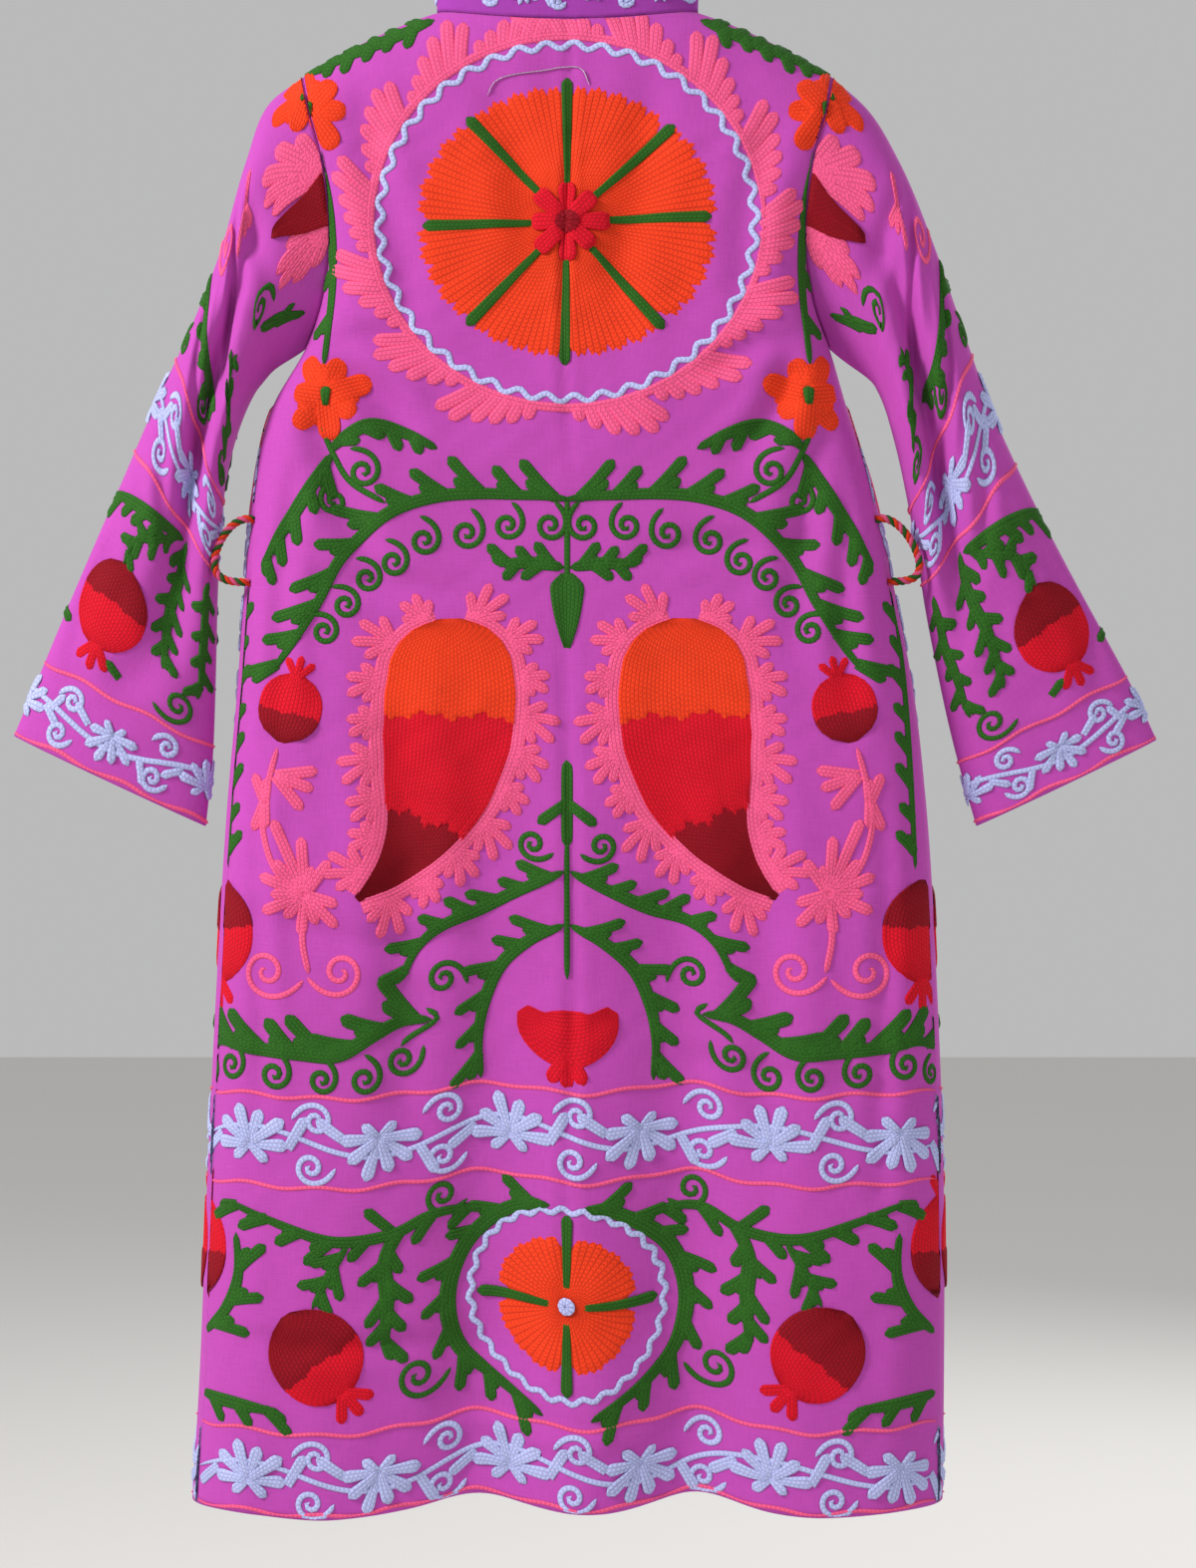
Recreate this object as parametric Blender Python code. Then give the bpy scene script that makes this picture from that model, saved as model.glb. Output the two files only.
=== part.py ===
"""Embroidered open-front robe on a plain wooden hanger.

Metres, +Z up. The origin is inside the top of the hook, where a rail bears. The robe's back faces -Y and its
left side, as someone looking at the back sees it, is at -X. A drop is a distance below the neck points.
"""

import math
from typing import NamedTuple

import bpy
import numpy as np

# Cloth
WALL = 0.0020  # outer cloth, embroidery and lining together
SEAM_GAP = 0.0003

# Body
LENGTH = 1.135  # neck point to hem
NECK_HALF_WIDTH = 0.100
BACK_NECK_DROP = 0.010
FRONT_NECK_DROP = 0.070
FRONT_EDGE = 0.0015  # each front edge from the middle
SHOULDER_CURVE = 1.6  # the shoulder line drops by this times x squared, per metre
SHOULDER_ROUNDING = 0.055  # drop within which the cloth turns over the hanger
CONTOUR_FADE = 0.300  # level at which the rows have gone from the shoulder's line to level
ARMPIT = 0.256
SEAM_TURN = math.radians(60)  # the side seam lies this far round the corner, on the back's side
SEAM_SHIFT = 0.150  # drop in which the side seam comes round from the armpit

# Collar and belt loops
COLLAR_HEIGHT = 0.036
COLLAR_FLARE = 0.003
LOOP_TOP, LOOP_LOW = 0.389, 0.437
LOOP_LEAD, LOOP_REACH, LOOP_SAG = 0.004, 0.024, 0.008
LOOP_RADIUS = 0.0032

# Hanger
HOOK_RISE = 0.083  # hanger's top above its middle to where the rail bears
HANGER_HALF_LENGTH = 0.195
HANGER_THICKNESS = 0.013
HANGER_MIDDLE_HEIGHT, HANGER_END_HEIGHT = 0.032, 0.020
WIRE_RADIUS = 0.00175
HOOK_RADIUS = 0.020  # middle of the wire
HOOK_SWEEP = math.radians(290)

NECK_POINT_Z = -HOOK_RISE - SHOULDER_CURVE * NECK_HALF_WIDTH**2 + SEAM_GAP + WALL


class BodySection(NamedTuple):
    """The body's outline and depth at one drop. Above the armpit the half width is the armhole's."""

    drop: float
    half_width: float
    sway: float  # the middle's shift towards +X
    half_depth: float
    corner_deg: float  # how far the side turns before the panel ends


BODY = [
    BodySection(0.049, 0.202, 0.000, 0.033, 12),
    BodySection(0.085, 0.195, 0.000, 0.034, 22),
    BodySection(0.120, 0.186, 0.000, 0.035, 30),
    BodySection(0.155, 0.181, 0.000, 0.036, 40),
    BodySection(0.190, 0.181, 0.000, 0.036, 54),
    BodySection(0.225, 0.188, 0.000, 0.036, 74),
    BodySection(0.256, 0.200, 0.000, 0.037, 90),
    BodySection(0.300, 0.219, -0.006, 0.038, 90),
    BodySection(0.370, 0.238, -0.003, 0.040, 90),
    BodySection(0.450, 0.250, 0.002, 0.042, 90),
    BodySection(0.520, 0.259, 0.006, 0.044, 90),
    BodySection(0.600, 0.267, 0.007, 0.046, 90),
    BodySection(0.750, 0.276, 0.007, 0.048, 90),
    BodySection(0.900, 0.282, 0.006, 0.050, 90),
    BodySection(1.050, 0.285, 0.003, 0.052, 90),
    BodySection(1.135, 0.287, 0.000, 0.053, 90),
]


class Fold(NamedTuple):
    """A soft upright fold in the body. A negative depth stands out instead."""

    x_top: float
    x_hem: float
    half_width: float
    depth: float
    starts: float
    lift: float  # how far it raises the hem


BACK_FOLDS = [
    Fold(-0.045, -0.067, 0.040, 0.017, 0.30, 0.010),
    Fold(0.070, 0.098, 0.038, 0.017, 0.34, 0.011),
    Fold(0.010, 0.014, 0.034, -0.008, 0.50, -0.002),
    Fold(-0.150, -0.185, 0.050, -0.008, 0.25, -0.006),
    Fold(0.150, 0.190, 0.052, -0.008, 0.25, -0.004),
]
FRONT_FOLDS = [
    Fold(-0.080, -0.105, 0.040, 0.015, 0.30, 0.008),
    Fold(0.085, 0.115, 0.042, 0.016, 0.30, 0.009),
    Fold(-0.165, -0.195, 0.045, -0.008, 0.25, -0.004),
    Fold(0.160, 0.200, 0.045, -0.007, 0.25, -0.004),
    Fold(0.000, 0.000, 0.030, -0.005, 0.50, -0.003),
]


class SleeveSection(NamedTuple):
    """One flat section of a sleeve, from its overarm edge to its underarm edge. Distances from the middle."""

    run: float  # 0 at the armhole, 1 at the cuff
    over_x: float
    over_drop: float
    under_x: float
    under_drop: float
    half_depth: float


LEFT_SLEEVE = [
    SleeveSection(0.00, 0.2025, 0.049, 0.2010, 0.256, 0.034),
    SleeveSection(0.07, 0.229, 0.070, 0.222, 0.266, 0.036),
    SleeveSection(0.16, 0.246, 0.114, 0.238, 0.288, 0.037),
    SleeveSection(0.28, 0.266, 0.184, 0.253, 0.322, 0.037),
    SleeveSection(0.39, 0.290, 0.245, 0.262, 0.360, 0.036),
    SleeveSection(0.49, 0.314, 0.296, 0.266, 0.402, 0.034),
    SleeveSection(0.60, 0.340, 0.356, 0.268, 0.446, 0.032),
    SleeveSection(0.71, 0.364, 0.411, 0.269, 0.490, 0.029),
    SleeveSection(0.81, 0.385, 0.460, 0.270, 0.530, 0.026),
    SleeveSection(0.91, 0.405, 0.508, 0.272, 0.574, 0.023),
    SleeveSection(1.00, 0.424, 0.553, 0.277, 0.622, 0.020),
]
RIGHT_SLEEVE = [
    SleeveSection(0.00, 0.2025, 0.049, 0.2010, 0.256, 0.034),
    SleeveSection(0.07, 0.230, 0.074, 0.223, 0.267, 0.036),
    SleeveSection(0.16, 0.254, 0.114, 0.238, 0.290, 0.037),
    SleeveSection(0.28, 0.279, 0.174, 0.250, 0.326, 0.037),
    SleeveSection(0.39, 0.301, 0.237, 0.259, 0.366, 0.036),
    SleeveSection(0.49, 0.324, 0.302, 0.267, 0.410, 0.034),
    SleeveSection(0.60, 0.354, 0.368, 0.274, 0.456, 0.032),
    SleeveSection(0.71, 0.386, 0.430, 0.283, 0.503, 0.029),
    SleeveSection(0.81, 0.411, 0.476, 0.292, 0.545, 0.026),
    SleeveSection(0.91, 0.433, 0.517, 0.302, 0.584, 0.023),
    SleeveSection(1.00, 0.451, 0.556, 0.313, 0.622, 0.020),
]


class SleeveFold(NamedTuple):
    """A fold along a sleeve. Angles are round the section from the overarm: up to 180 is the back."""

    starts: float
    ends: float
    start_deg: float
    end_deg: float
    half_width_deg: float
    depth: float


LEFT_SLEEVE_FOLDS = [
    SleeveFold(0.05, 0.80, 76, 116, 15, 0.021),
    SleeveFold(0.10, 0.72, 128, 146, 16, -0.007),
    SleeveFold(0.08, 0.80, 282, 258, 17, 0.019),
]
RIGHT_SLEEVE_FOLDS = [
    SleeveFold(0.04, 0.72, 84, 122, 15, 0.021),
    SleeveFold(0.08, 0.66, 132, 148, 16, -0.007),
    SleeveFold(0.08, 0.80, 280, 256, 17, 0.019),
]

# Grids. A level is a row of the body's panels, as the drop it has once the rows are level.
ARMHOLE_LEVELS = [0, 0.0006, 0.003, 0.009, 0.020, 0.037, 0.060, 0.088, 0.117, 0.146, 0.175, 0.201, 0.224, 0.243]
BODY_LEVELS = [0.290, 0.325, 0.365, 0.41, 0.46, 0.51, 0.57, 0.63, 0.70, 0.77, 0.84, 0.91, 0.98, 1.05, LENGTH]
NECK_COLUMNS = 8
SHOULDER_COLUMNS = [0.58, 0.67, 0.75, 0.82, 0.88, 0.94, 1.0]
SLEEVE_RUNS = [0, 0.03, 0.07, 0.12, 0.17, 0.23, 0.29, 0.36, 0.43, 0.50, 0.57, 0.64, 0.72, 0.80, 0.90, 1.0]
SLEEVE_BLEND = 0.17  # run in which the round of the armhole becomes the sleeve's own section


def column(table, name):
    """One named column of a table, as an array."""
    return np.array([getattr(row, name) for row in table])


def smooth_through(x, xs, ys):
    """A smooth curve through a short table, read at x."""
    slopes = np.gradient(ys, xs)
    x = np.clip(x, xs[0], xs[-1])
    i = np.clip(np.searchsorted(xs, x, side="right") - 1, 0, len(xs) - 2)
    step = xs[i + 1] - xs[i]
    t = (x - xs[i]) / step
    start = (1 + 2 * t) * (1 - t) ** 2 * ys[i] + t * (1 - t) ** 2 * step * slopes[i]
    end = t * t * (3 - 2 * t) * ys[i + 1] + t * t * (t - 1) * step * slopes[i + 1]
    return start + end


def ease(value, start, end):
    """0 up to start, 1 from end, and smooth between."""
    t = np.clip((value - start) / (end - start), 0, 1)
    return t * t * (3 - 2 * t)


def body_value(name, drop):
    return smooth_through(drop, column(BODY, "drop"), column(BODY, name))


def corner_turn(drop):
    """How far the side turns at this drop, in radians."""
    return np.radians(np.minimum(body_value("corner_deg", drop), 90))


def shoulder_drop(x):
    """The shoulder line below the neck points, carried on over the neck."""
    return SHOULDER_CURVE * (x**2 - NECK_HALF_WIDTH**2)


def contour_fade(level):
    return np.clip(1 - level / CONTOUR_FADE, 0, 1) ** 2


def top_drop(x, neck_drop):
    """The panel's upper edge: the neck's curve, then the shoulder line."""
    in_neck = neck_drop * (1 - (x / NECK_HALF_WIDTH) ** 2)
    return np.where(x < NECK_HALF_WIDTH, in_neck, shoulder_drop(x))


def fold_sum(folds, x, drop, what):
    """The folds' inward depth, or their lift at the hem, at each point."""
    total = np.zeros(np.broadcast(x, drop).shape)
    for fold in folds:
        share = np.clip((drop - fold.starts) / (LENGTH - fold.starts), 0, 1)
        middle = fold.x_top + (fold.x_hem - fold.x_top) * share
        total = total + getattr(fold, what) * ease(share, 0, 1) * np.exp(-(((x - middle) / fold.half_width) ** 2))
    return total


def side_turn(edge_drop, is_back):
    """The angle at which a face ends at its side: the armhole's, then the side seam's."""
    corner = corner_turn(edge_drop)
    shift = (math.pi / 2 - SEAM_TURN) * ease(edge_drop, ARMPIT, ARMPIT + SEAM_SHIFT)
    return corner - shift if is_back else corner + shift


def face_points(levels, across, side, is_back):
    """Points on the outside of one half of the back or the front.

    levels are rows and across are columns, 0 at the middle and 1 at the side. side is -1 or 1.
    """
    level = np.array(levels, float)[:, None]
    share = np.array(across, float)[None, :]
    shoulder_end = shoulder_drop(BODY[0].half_width)
    edge_drop = level + shoulder_end * contour_fade(level)
    radius = body_value("half_depth", edge_drop)
    flat = body_value("half_width", edge_drop) - radius * np.sin(corner_turn(edge_drop))
    start = 0.0 if is_back else FRONT_EDGE
    reach = flat + radius * side_turn(edge_drop, is_back) - SEAM_GAP / 2
    along = start + share * (reach - start)
    turn = np.maximum(along - flat, 0) / radius
    x = np.minimum(along, flat) + radius * np.sin(turn)
    drop = level + top_drop(x, BACK_NECK_DROP if is_back else FRONT_NECK_DROP) * contour_fade(level)
    round_over = np.clip((drop - shoulder_drop(x)) / SHOULDER_ROUNDING, 0, 1)
    depth = body_value("half_depth", drop) * np.sqrt(1 - (1 - round_over) ** 2)
    folds = BACK_FOLDS if is_back else FRONT_FOLDS
    world_x = side * x + body_value("sway", drop)
    fades = 1 - ease(turn, 0, SEAM_TURN)
    depth = depth - fold_sum(folds, world_x, drop, "depth") * fades
    lift = fold_sum(folds, world_x, drop, "lift") * fades
    y = depth * np.cos(turn) + SEAM_GAP / 2
    z = NECK_POINT_Z - drop + lift
    return np.stack([world_x, -y if is_back else y, z], axis=-1)


def normals_of(points, ring=False):
    """Unit normals of a grid of points. With ring, the columns close on themselves."""
    down = np.gradient(points, axis=0)
    if ring:
        around = np.roll(points, -1, axis=1) - np.roll(points, 1, axis=1)
    else:
        around = np.gradient(points, axis=1)
    normal = np.cross(down, around)
    return normal / np.linalg.norm(normal, axis=-1, keepdims=True)


def unit(vectors):
    return vectors / np.linalg.norm(vectors, axis=-1, keepdims=True)


class Panel:
    """A cut piece of cloth as two grids of points, its outside and its inside."""

    def __init__(self, name, outside, normals):
        self.name = name
        self.outside = outside
        self.normals = normals

    @property
    def inside(self):
        return self.outside - WALL * self.normals


def match_edges(first, first_at, second, second_at):
    """Gives two edges that meet at a seam the same normals, so that their end faces are parallel."""
    shared = unit(first.normals[first_at] + second.normals[second_at])
    first.normals[first_at] = shared
    second.normals[second_at] = shared


def body_columns():
    neck = 1 - np.linspace(1, 0, NECK_COLUMNS + 1) ** 2
    shoulder_end = BODY[0].half_width
    return np.concatenate([neck * NECK_HALF_WIDTH / shoulder_end, SHOULDER_COLUMNS])


def body_panels():
    """The back, and the two fronts from their middle edge to their side."""
    levels = ARMHOLE_LEVELS + [ARMPIT] + BODY_LEVELS
    across = body_columns()
    left = face_points(levels, across, -1, True)
    right = face_points(levels, across, 1, True)
    outside = np.concatenate([left[:, :0:-1], right], axis=1)
    back = Panel("back", outside, normals_of(outside))
    fronts = []
    for name, side in (("front_left", -1), ("front_right", 1)):
        outside = face_points(levels, across, side, False)
        fronts.append(Panel(name, outside, side * normals_of(outside) * -1))
    middle = len(across) - 1
    armhole = len(ARMHOLE_LEVELS)
    for front, to_back in ((fronts[0], slice(None, None, -1)), (fronts[1], slice(None))):
        side_column = 0 if front is fronts[0] else 2 * middle
        match_edges(back, (slice(armhole, None), side_column), front, (slice(armhole, None), middle))
        half = back.normals[0, : middle + 1] if front is fronts[0] else back.normals[0, middle:]
        ridge = slice(NECK_COLUMNS, None)
        shared = unit(half[to_back][ridge] + front.normals[0, ridge])
        shared[:, 1] = 0
        shared = unit(shared)
        half[to_back][ridge] = shared
        front.normals[0, ridge] = shared
    return back, fronts[0], fronts[1]


def armhole_ring(on_back, on_front, side):
    """What both panels hold at one armhole's edge, as one ring: down the back and up the front."""
    rows = len(ARMHOLE_LEVELS) + 1
    down, up = on_back[:rows, 0 if side < 0 else -1], on_front[:rows, -1]
    ends = (down[[0, -1]] + up[[0, -1]]) / 2
    return np.concatenate([ends[:1], down[1:-1], ends[1:], up[-2:0:-1]])


def ring_angles():
    """How far round the sleeve's section each point of the ring lies, from the overarm."""
    level = np.array(ARMHOLE_LEVELS + [ARMPIT])
    drop = level + shoulder_drop(BODY[0].half_width) * contour_fade(level)
    share = (drop - drop[0]) / (drop[-1] - drop[0])
    down = np.arccos(1 - 2 * share)
    return np.concatenate([down, 2 * math.pi - down[-2:0:-1]])


def sleeve_points(table, folds, runs, angles, side):
    """Points on the outside of a sleeve: a ring for each run."""
    run = np.array(runs, float)
    values = {name: smooth_through(run, column(table, "run"), column(table, name)) for name in SleeveSection._fields}
    over = np.stack([side * values["over_x"], 0 * run, NECK_POINT_Z - values["over_drop"]], axis=-1)
    under = np.stack([side * values["under_x"], 0 * run, NECK_POINT_Z - values["under_drop"]], axis=-1)
    middle, half = (over + under) / 2, (over - under) / 2
    angle = angles[None, :]
    depth = values["half_depth"][:, None] * np.abs(np.sin(angle))
    for fold in folds:
        share = (run - fold.starts) / (fold.ends - fold.starts)
        strength = np.where((share > 0) & (share < 1), np.sin(math.pi * np.clip(share, 0, 1)) ** 0.8, 0)
        at = np.radians(fold.start_deg + (fold.end_deg - fold.start_deg) * np.clip(share, 0, 1))
        width = math.radians(fold.half_width_deg)
        depth = depth - fold.depth * strength[:, None] * np.exp(-(((angle - at[:, None]) / width) ** 2))
    points = middle[:, None] + half[:, None] * np.cos(angle)[..., None]
    points[..., 1] = -depth * np.sign(np.sin(angle) + 1e-12) * (np.abs(np.sin(angle)) > 1e-6)
    return points


def sleeve_panel(name, table, folds, back, front, side):
    """A sleeve from the armhole's edge to its cuff. It also gives the armhole's edge the seam's normals."""
    edge = armhole_ring(back.outside, front.outside, side)
    outside = sleeve_points(table, folds, SLEEVE_RUNS, ring_angles(), side)
    blend = ease(np.array(SLEEVE_RUNS), 0, SLEEVE_BLEND)[:, None, None]
    travel = outside[:, :1] - outside[:1, :1]
    outside = (edge[None] + travel) * (1 - blend) + outside * blend
    normals = normals_of(outside, ring=True) * -side
    shared = unit(unit(armhole_ring(back.normals, front.normals, side)) + normals[0])
    rows = len(ARMHOLE_LEVELS) + 1
    back.normals[:rows, 0 if side < 0 else -1] = shared[:rows]
    front.normals[:rows, -1] = np.concatenate([shared[:1], shared[: rows - 2 : -1]])
    along = np.roll(edge, -1, axis=0) - np.roll(edge, 1, axis=0)
    outside[0] += unit(np.cross(along, shared)) * -side * SEAM_GAP
    normals[0] = shared
    return Panel(name, outside, normals)


def collar_panel(back, front_left, front_right):
    """A standing band round the neck, from one front edge to the other."""
    neck = slice(0, NECK_COLUMNS + 1)
    middle = back.outside.shape[1] // 2
    across_back = back.outside[0, middle - NECK_COLUMNS : middle + NECK_COLUMNS + 1]
    right, left = front_right.outside[0, neck], front_left.outside[0, neck]
    corners = [(right[-1] + across_back[-1]) / 2, (left[-1] + across_back[0]) / 2]
    seam = np.concatenate([right[:-1], corners[:1], across_back[-2:0:-1], corners[1:], left[-2::-1]])
    along = unit(np.gradient(seam, axis=0))
    seat = SEAM_GAP * 1.4 / np.hypot(along[:, 0], along[:, 1])
    outward = unit(np.stack([along[:, 1], -along[:, 0], 0 * seat], axis=-1))
    outward[[0, -1]] = (0, 1, 0)
    if outward[len(seam) // 2, 1] > 0:
        outward = -outward
        outward[[0, -1]] = (0, 1, 0)
    rows = []
    for share in (0, 0.35, 0.7, 1.0):
        rise = np.stack([0 * seat, 0 * seat, seat + share * COLLAR_HEIGHT], axis=-1)
        rows.append(seam + rise + outward * COLLAR_FLARE * share**2)
    return Panel("collar", np.array(rows), np.repeat(outward[None], len(rows), axis=0))


def wall_faces(rows, columns, ring):
    """Faces of a wall: its outside, its inside, and the edges between them."""
    span = columns if ring else columns - 1
    inner = rows * columns
    faces = []
    for row in range(rows - 1):
        for at in range(span):
            after = (at + 1) % columns
            quad = [row * columns + at, (row + 1) * columns + at, (row + 1) * columns + after, row * columns + after]
            faces.append(quad)
            faces.append([inner + v for v in reversed(quad)])
    for at in range(span):
        after = (at + 1) % columns
        last = (rows - 1) * columns
        faces.append([at, after, inner + after, inner + at])
        faces.append([last + after, last + at, inner + last + at, inner + last + after])
    if not ring:
        for row in range(rows - 1):
            here, below = row * columns, (row + 1) * columns
            faces += [[below, here, inner + below], [here, inner + here, inner + below]]
            here, below = here + columns - 1, below + columns - 1
            faces += [[here, below, inner + below], [here, inner + below, inner + here]]
    return faces


def material(name, colour, roughness, metallic=0.0):
    made = bpy.data.materials.new(name)
    made.use_nodes = True
    shader = made.node_tree.nodes["Principled BSDF"]
    shader.inputs["Base Color"].default_value = (*colour, 1)
    shader.inputs["Roughness"].default_value = roughness
    shader.inputs["Metallic"].default_value = metallic
    return made


def add_object(name, points, faces, finish):
    """A named object with its faces turned outwards."""
    mesh = bpy.data.meshes.new(name)
    mesh.from_pydata(points.tolist(), [], faces)
    mesh.materials.append(finish)
    corners = np.array([points[face[:3]] for face in faces])
    if np.linalg.det(corners - points.mean(axis=0)).sum() < 0:
        mesh.flip_normals()
    mesh.shade_smooth()
    mesh.set_sharp_from_angle(angle=math.radians(50))
    made = bpy.data.objects.new(name, mesh)
    bpy.context.scene.collection.objects.link(made)
    return made


def add_panel(panel, finish, ring=False):
    rows, columns = panel.outside.shape[:2]
    points = np.concatenate([panel.outside.reshape(-1, 3), panel.inside.reshape(-1, 3)])
    faces = wall_faces(rows, columns, ring)
    return add_object(panel.name, points, faces, finish)


def hanger_top(x):
    return -HOOK_RISE - SHOULDER_CURVE * x**2


def add_hanger(finish):
    """A shaped wooden hanger: one oval section swept along the shoulders' curve."""
    stations = np.linspace(-1, 1, 23)
    angles = np.linspace(0, 2 * math.pi, 12, endpoint=False)
    points = []
    for station in stations:
        x = station * HANGER_HALF_LENGTH
        rounding = math.sqrt(max(1 - abs(station) ** 14, 0.04))
        height = HANGER_MIDDLE_HEIGHT + (HANGER_END_HEIGHT - HANGER_MIDDLE_HEIGHT) * abs(station)
        middle = hanger_top(x) - height / 2
        for angle in angles:
            oval = (math.copysign(abs(math.sin(angle)) ** 0.7, math.sin(angle)), math.cos(angle))
            points.append((x, HANGER_THICKNESS / 2 * rounding * oval[0], middle + height / 2 * rounding * oval[1]))
    count = len(angles)
    faces = []
    for row in range(len(stations) - 1):
        for at in range(count):
            after = (at + 1) % count
            faces.append([row * count + at, row * count + after, (row + 1) * count + after, (row + 1) * count + at])
    faces.append(list(range(count))[::-1])
    faces.append([(len(stations) - 1) * count + at for at in range(count)])
    return add_object("hanger", np.array(points), faces, finish)


def add_tube(name, path, radius, finish, sides=2):
    """A round rod along a path, with flat ends."""
    curve = bpy.data.curves.new(name, "CURVE")
    curve.dimensions = "3D"
    curve.bevel_depth = radius
    curve.bevel_resolution = sides
    curve.use_fill_caps = True
    curve.materials.append(finish)
    spline = curve.splines.new("POLY")
    spline.points.add(len(path) - 1)
    for point, place in zip(spline.points, path):
        point.co = (*place, 1)
    made = bpy.data.objects.new(name, curve)
    bpy.context.scene.collection.objects.link(made)
    return made


def hook_path():
    """The stem, then the arc round the rail, ending short of the stem."""
    middle_z = WIRE_RADIUS - HOOK_RADIUS
    path = [(0, 0, hanger_top(0) + SEAM_GAP), (0, 0, middle_z - HOOK_RADIUS - 0.012)]
    steps = 22
    for step in range(steps + 1):
        angle = -math.pi / 2 + HOOK_SWEEP * step / steps
        path.append((HOOK_RADIUS * math.cos(angle), 0, middle_z + HOOK_RADIUS * math.sin(angle)))
    return path


def loop_path(side):
    """A thread loop for a belt, from the side seam out and back to it."""
    ends = []
    for drop in (LOOP_TOP, LOOP_LOW):
        rows = face_points([drop - 0.001, drop, drop + 0.001], [0.99, 1.0], side, True)
        normal = unit(np.cross(rows[2, 1] - rows[0, 1], rows[1, 1] - rows[1, 0]))
        ends.append((rows[1, 1], normal * np.sign(normal[0] * side)))
    (top, top_out), (low, low_out) = ends
    seats = [top + top_out * SEAM_GAP * 1.5, low + low_out * SEAM_GAP * 1.5]
    top, low = seats[0] + top_out * LOOP_LEAD, seats[1] + low_out * LOOP_LEAD
    path = [tuple(seats[0])]
    steps = 14
    for step in range(steps + 1):
        angle = math.pi * step / steps
        swing = math.sin(angle)
        place = (top + low) / 2 + (top - low) / 2 * math.cos(angle)
        path.append(tuple(place + np.array([side * LOOP_REACH * swing, 0, -LOOP_SAG * swing**2])))
    return path + [tuple(seats[1])]


def build():
    for old in list(bpy.data.objects):
        bpy.data.objects.remove(old)
    cloth = material("orchid_cotton", (0.48, 0.075, 0.42), 0.85)
    band = material("collar_cotton", (0.42, 0.06, 0.38), 0.85)
    thread = material("loop_thread", (0.80, 0.09, 0.03), 0.80)
    wood = material("beech", (0.55, 0.33, 0.16), 0.45)
    steel = material("zinc_plated_steel", (0.62, 0.62, 0.64), 0.28, 1.0)

    back, front_left, front_right = body_panels()
    sleeves = []
    for name, table, folds, front, side in (
        ("sleeve_left", LEFT_SLEEVE, LEFT_SLEEVE_FOLDS, front_left, -1),
        ("sleeve_right", RIGHT_SLEEVE, RIGHT_SLEEVE_FOLDS, front_right, 1),
    ):
        sleeves.append(sleeve_panel(name, table, folds, back, front, side))
    for panel in (back, front_left, front_right):
        add_panel(panel, cloth)
    for panel in sleeves:
        add_panel(panel, cloth, ring=True)
    add_panel(collar_panel(back, front_left, front_right), band)
    add_tube("belt_loop_left", loop_path(-1), LOOP_RADIUS, thread)
    add_tube("belt_loop_right", loop_path(1), LOOP_RADIUS, thread)
    add_hanger(wood)
    add_tube("hanger_hook", hook_path(), WIRE_RADIUS, steel)


build()
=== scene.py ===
import logging
import math
from dataclasses import dataclass, field
from enum import Enum
from typing import Callable, NamedTuple, Sequence

import bpy
import numpy as np
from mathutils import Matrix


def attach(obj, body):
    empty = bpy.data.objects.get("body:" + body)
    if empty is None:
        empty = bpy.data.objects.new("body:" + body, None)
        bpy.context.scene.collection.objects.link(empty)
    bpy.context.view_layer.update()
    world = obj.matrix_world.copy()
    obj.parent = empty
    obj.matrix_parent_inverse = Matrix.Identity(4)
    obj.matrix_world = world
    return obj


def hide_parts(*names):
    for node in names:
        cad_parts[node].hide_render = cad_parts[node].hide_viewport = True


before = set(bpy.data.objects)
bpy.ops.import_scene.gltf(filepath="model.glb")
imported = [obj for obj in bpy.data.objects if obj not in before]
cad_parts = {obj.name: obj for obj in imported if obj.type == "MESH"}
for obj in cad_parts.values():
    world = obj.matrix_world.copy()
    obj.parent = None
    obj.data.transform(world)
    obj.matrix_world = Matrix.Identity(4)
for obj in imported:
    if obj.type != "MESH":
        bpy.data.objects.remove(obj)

LOG = logging.getLogger("robe")
MM = 0.001
TAU = 2 * math.pi

# Cloth and its cut, as in the solids, in metres
WALL = 0.0020  # thickness of the solids' cloth
SEAM_GAP = 0.0003  # between two pieces at a seam
LENGTH = 1.135  # from the neck point to the hem
NECK_HALF_WIDTH = 0.100
BACK_NECK_DROP = 0.010  # depth of the neck's curve
FRONT_NECK_DROP = 0.070
FRONT_EDGE = 0.0015  # from the middle line to a front's edge
SHOULDER_CURVE = 1.6  # drop of the shoulder line, times the square of the distance across
SHOULDER_ROUNDING = 0.055  # below the shoulder line the depth grows over this drop
CONTOUR_FADE = 0.300  # from this drop on rows are level
ARMPIT = 0.256  # drop of the armhole's lower end
SEAM_TURN = math.radians(60)  # how far round the side the back reaches, below the armhole
SEAM_SHIFT = 0.150  # drop over which the side seam moves there
HOOK_RISE = 0.083  # from the hanger's top to the inside of its hook
NECK_POINT_Z = -HOOK_RISE - SHOULDER_CURVE * NECK_HALF_WIDTH**2 + SEAM_GAP + WALL
SLEEVE_LENGTH = 0.490  # along the middle of the sleeve
SLEEVE_BLEND = 0.17  # share of the sleeve that is shaped by the armhole too

# Stitches
ROW = 0.0031  # width of one row of chain stitch
STITCH = 0.0034  # length of one stitch
STEP = 0.0042  # length of one face along a row
RISE = 0.0011  # how far a row stands out of the cloth
LAYER = 0.0007  # one row of stitches over another
GROOVE_HEIGHT = 0.55  # height between two rows, as a share of RISE
EDGE_HEIGHT = -0.25  # a patch's edge is this share of RISE inside the cloth
THREAD_STEP = 0.00013  # sets crossing threads of two colours apart
LEAF_ANGLE = 38  # degrees between a leaf and its stem
LAY_DOWN = 0.0003  # how far a patch's ends go into the cloth

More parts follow.
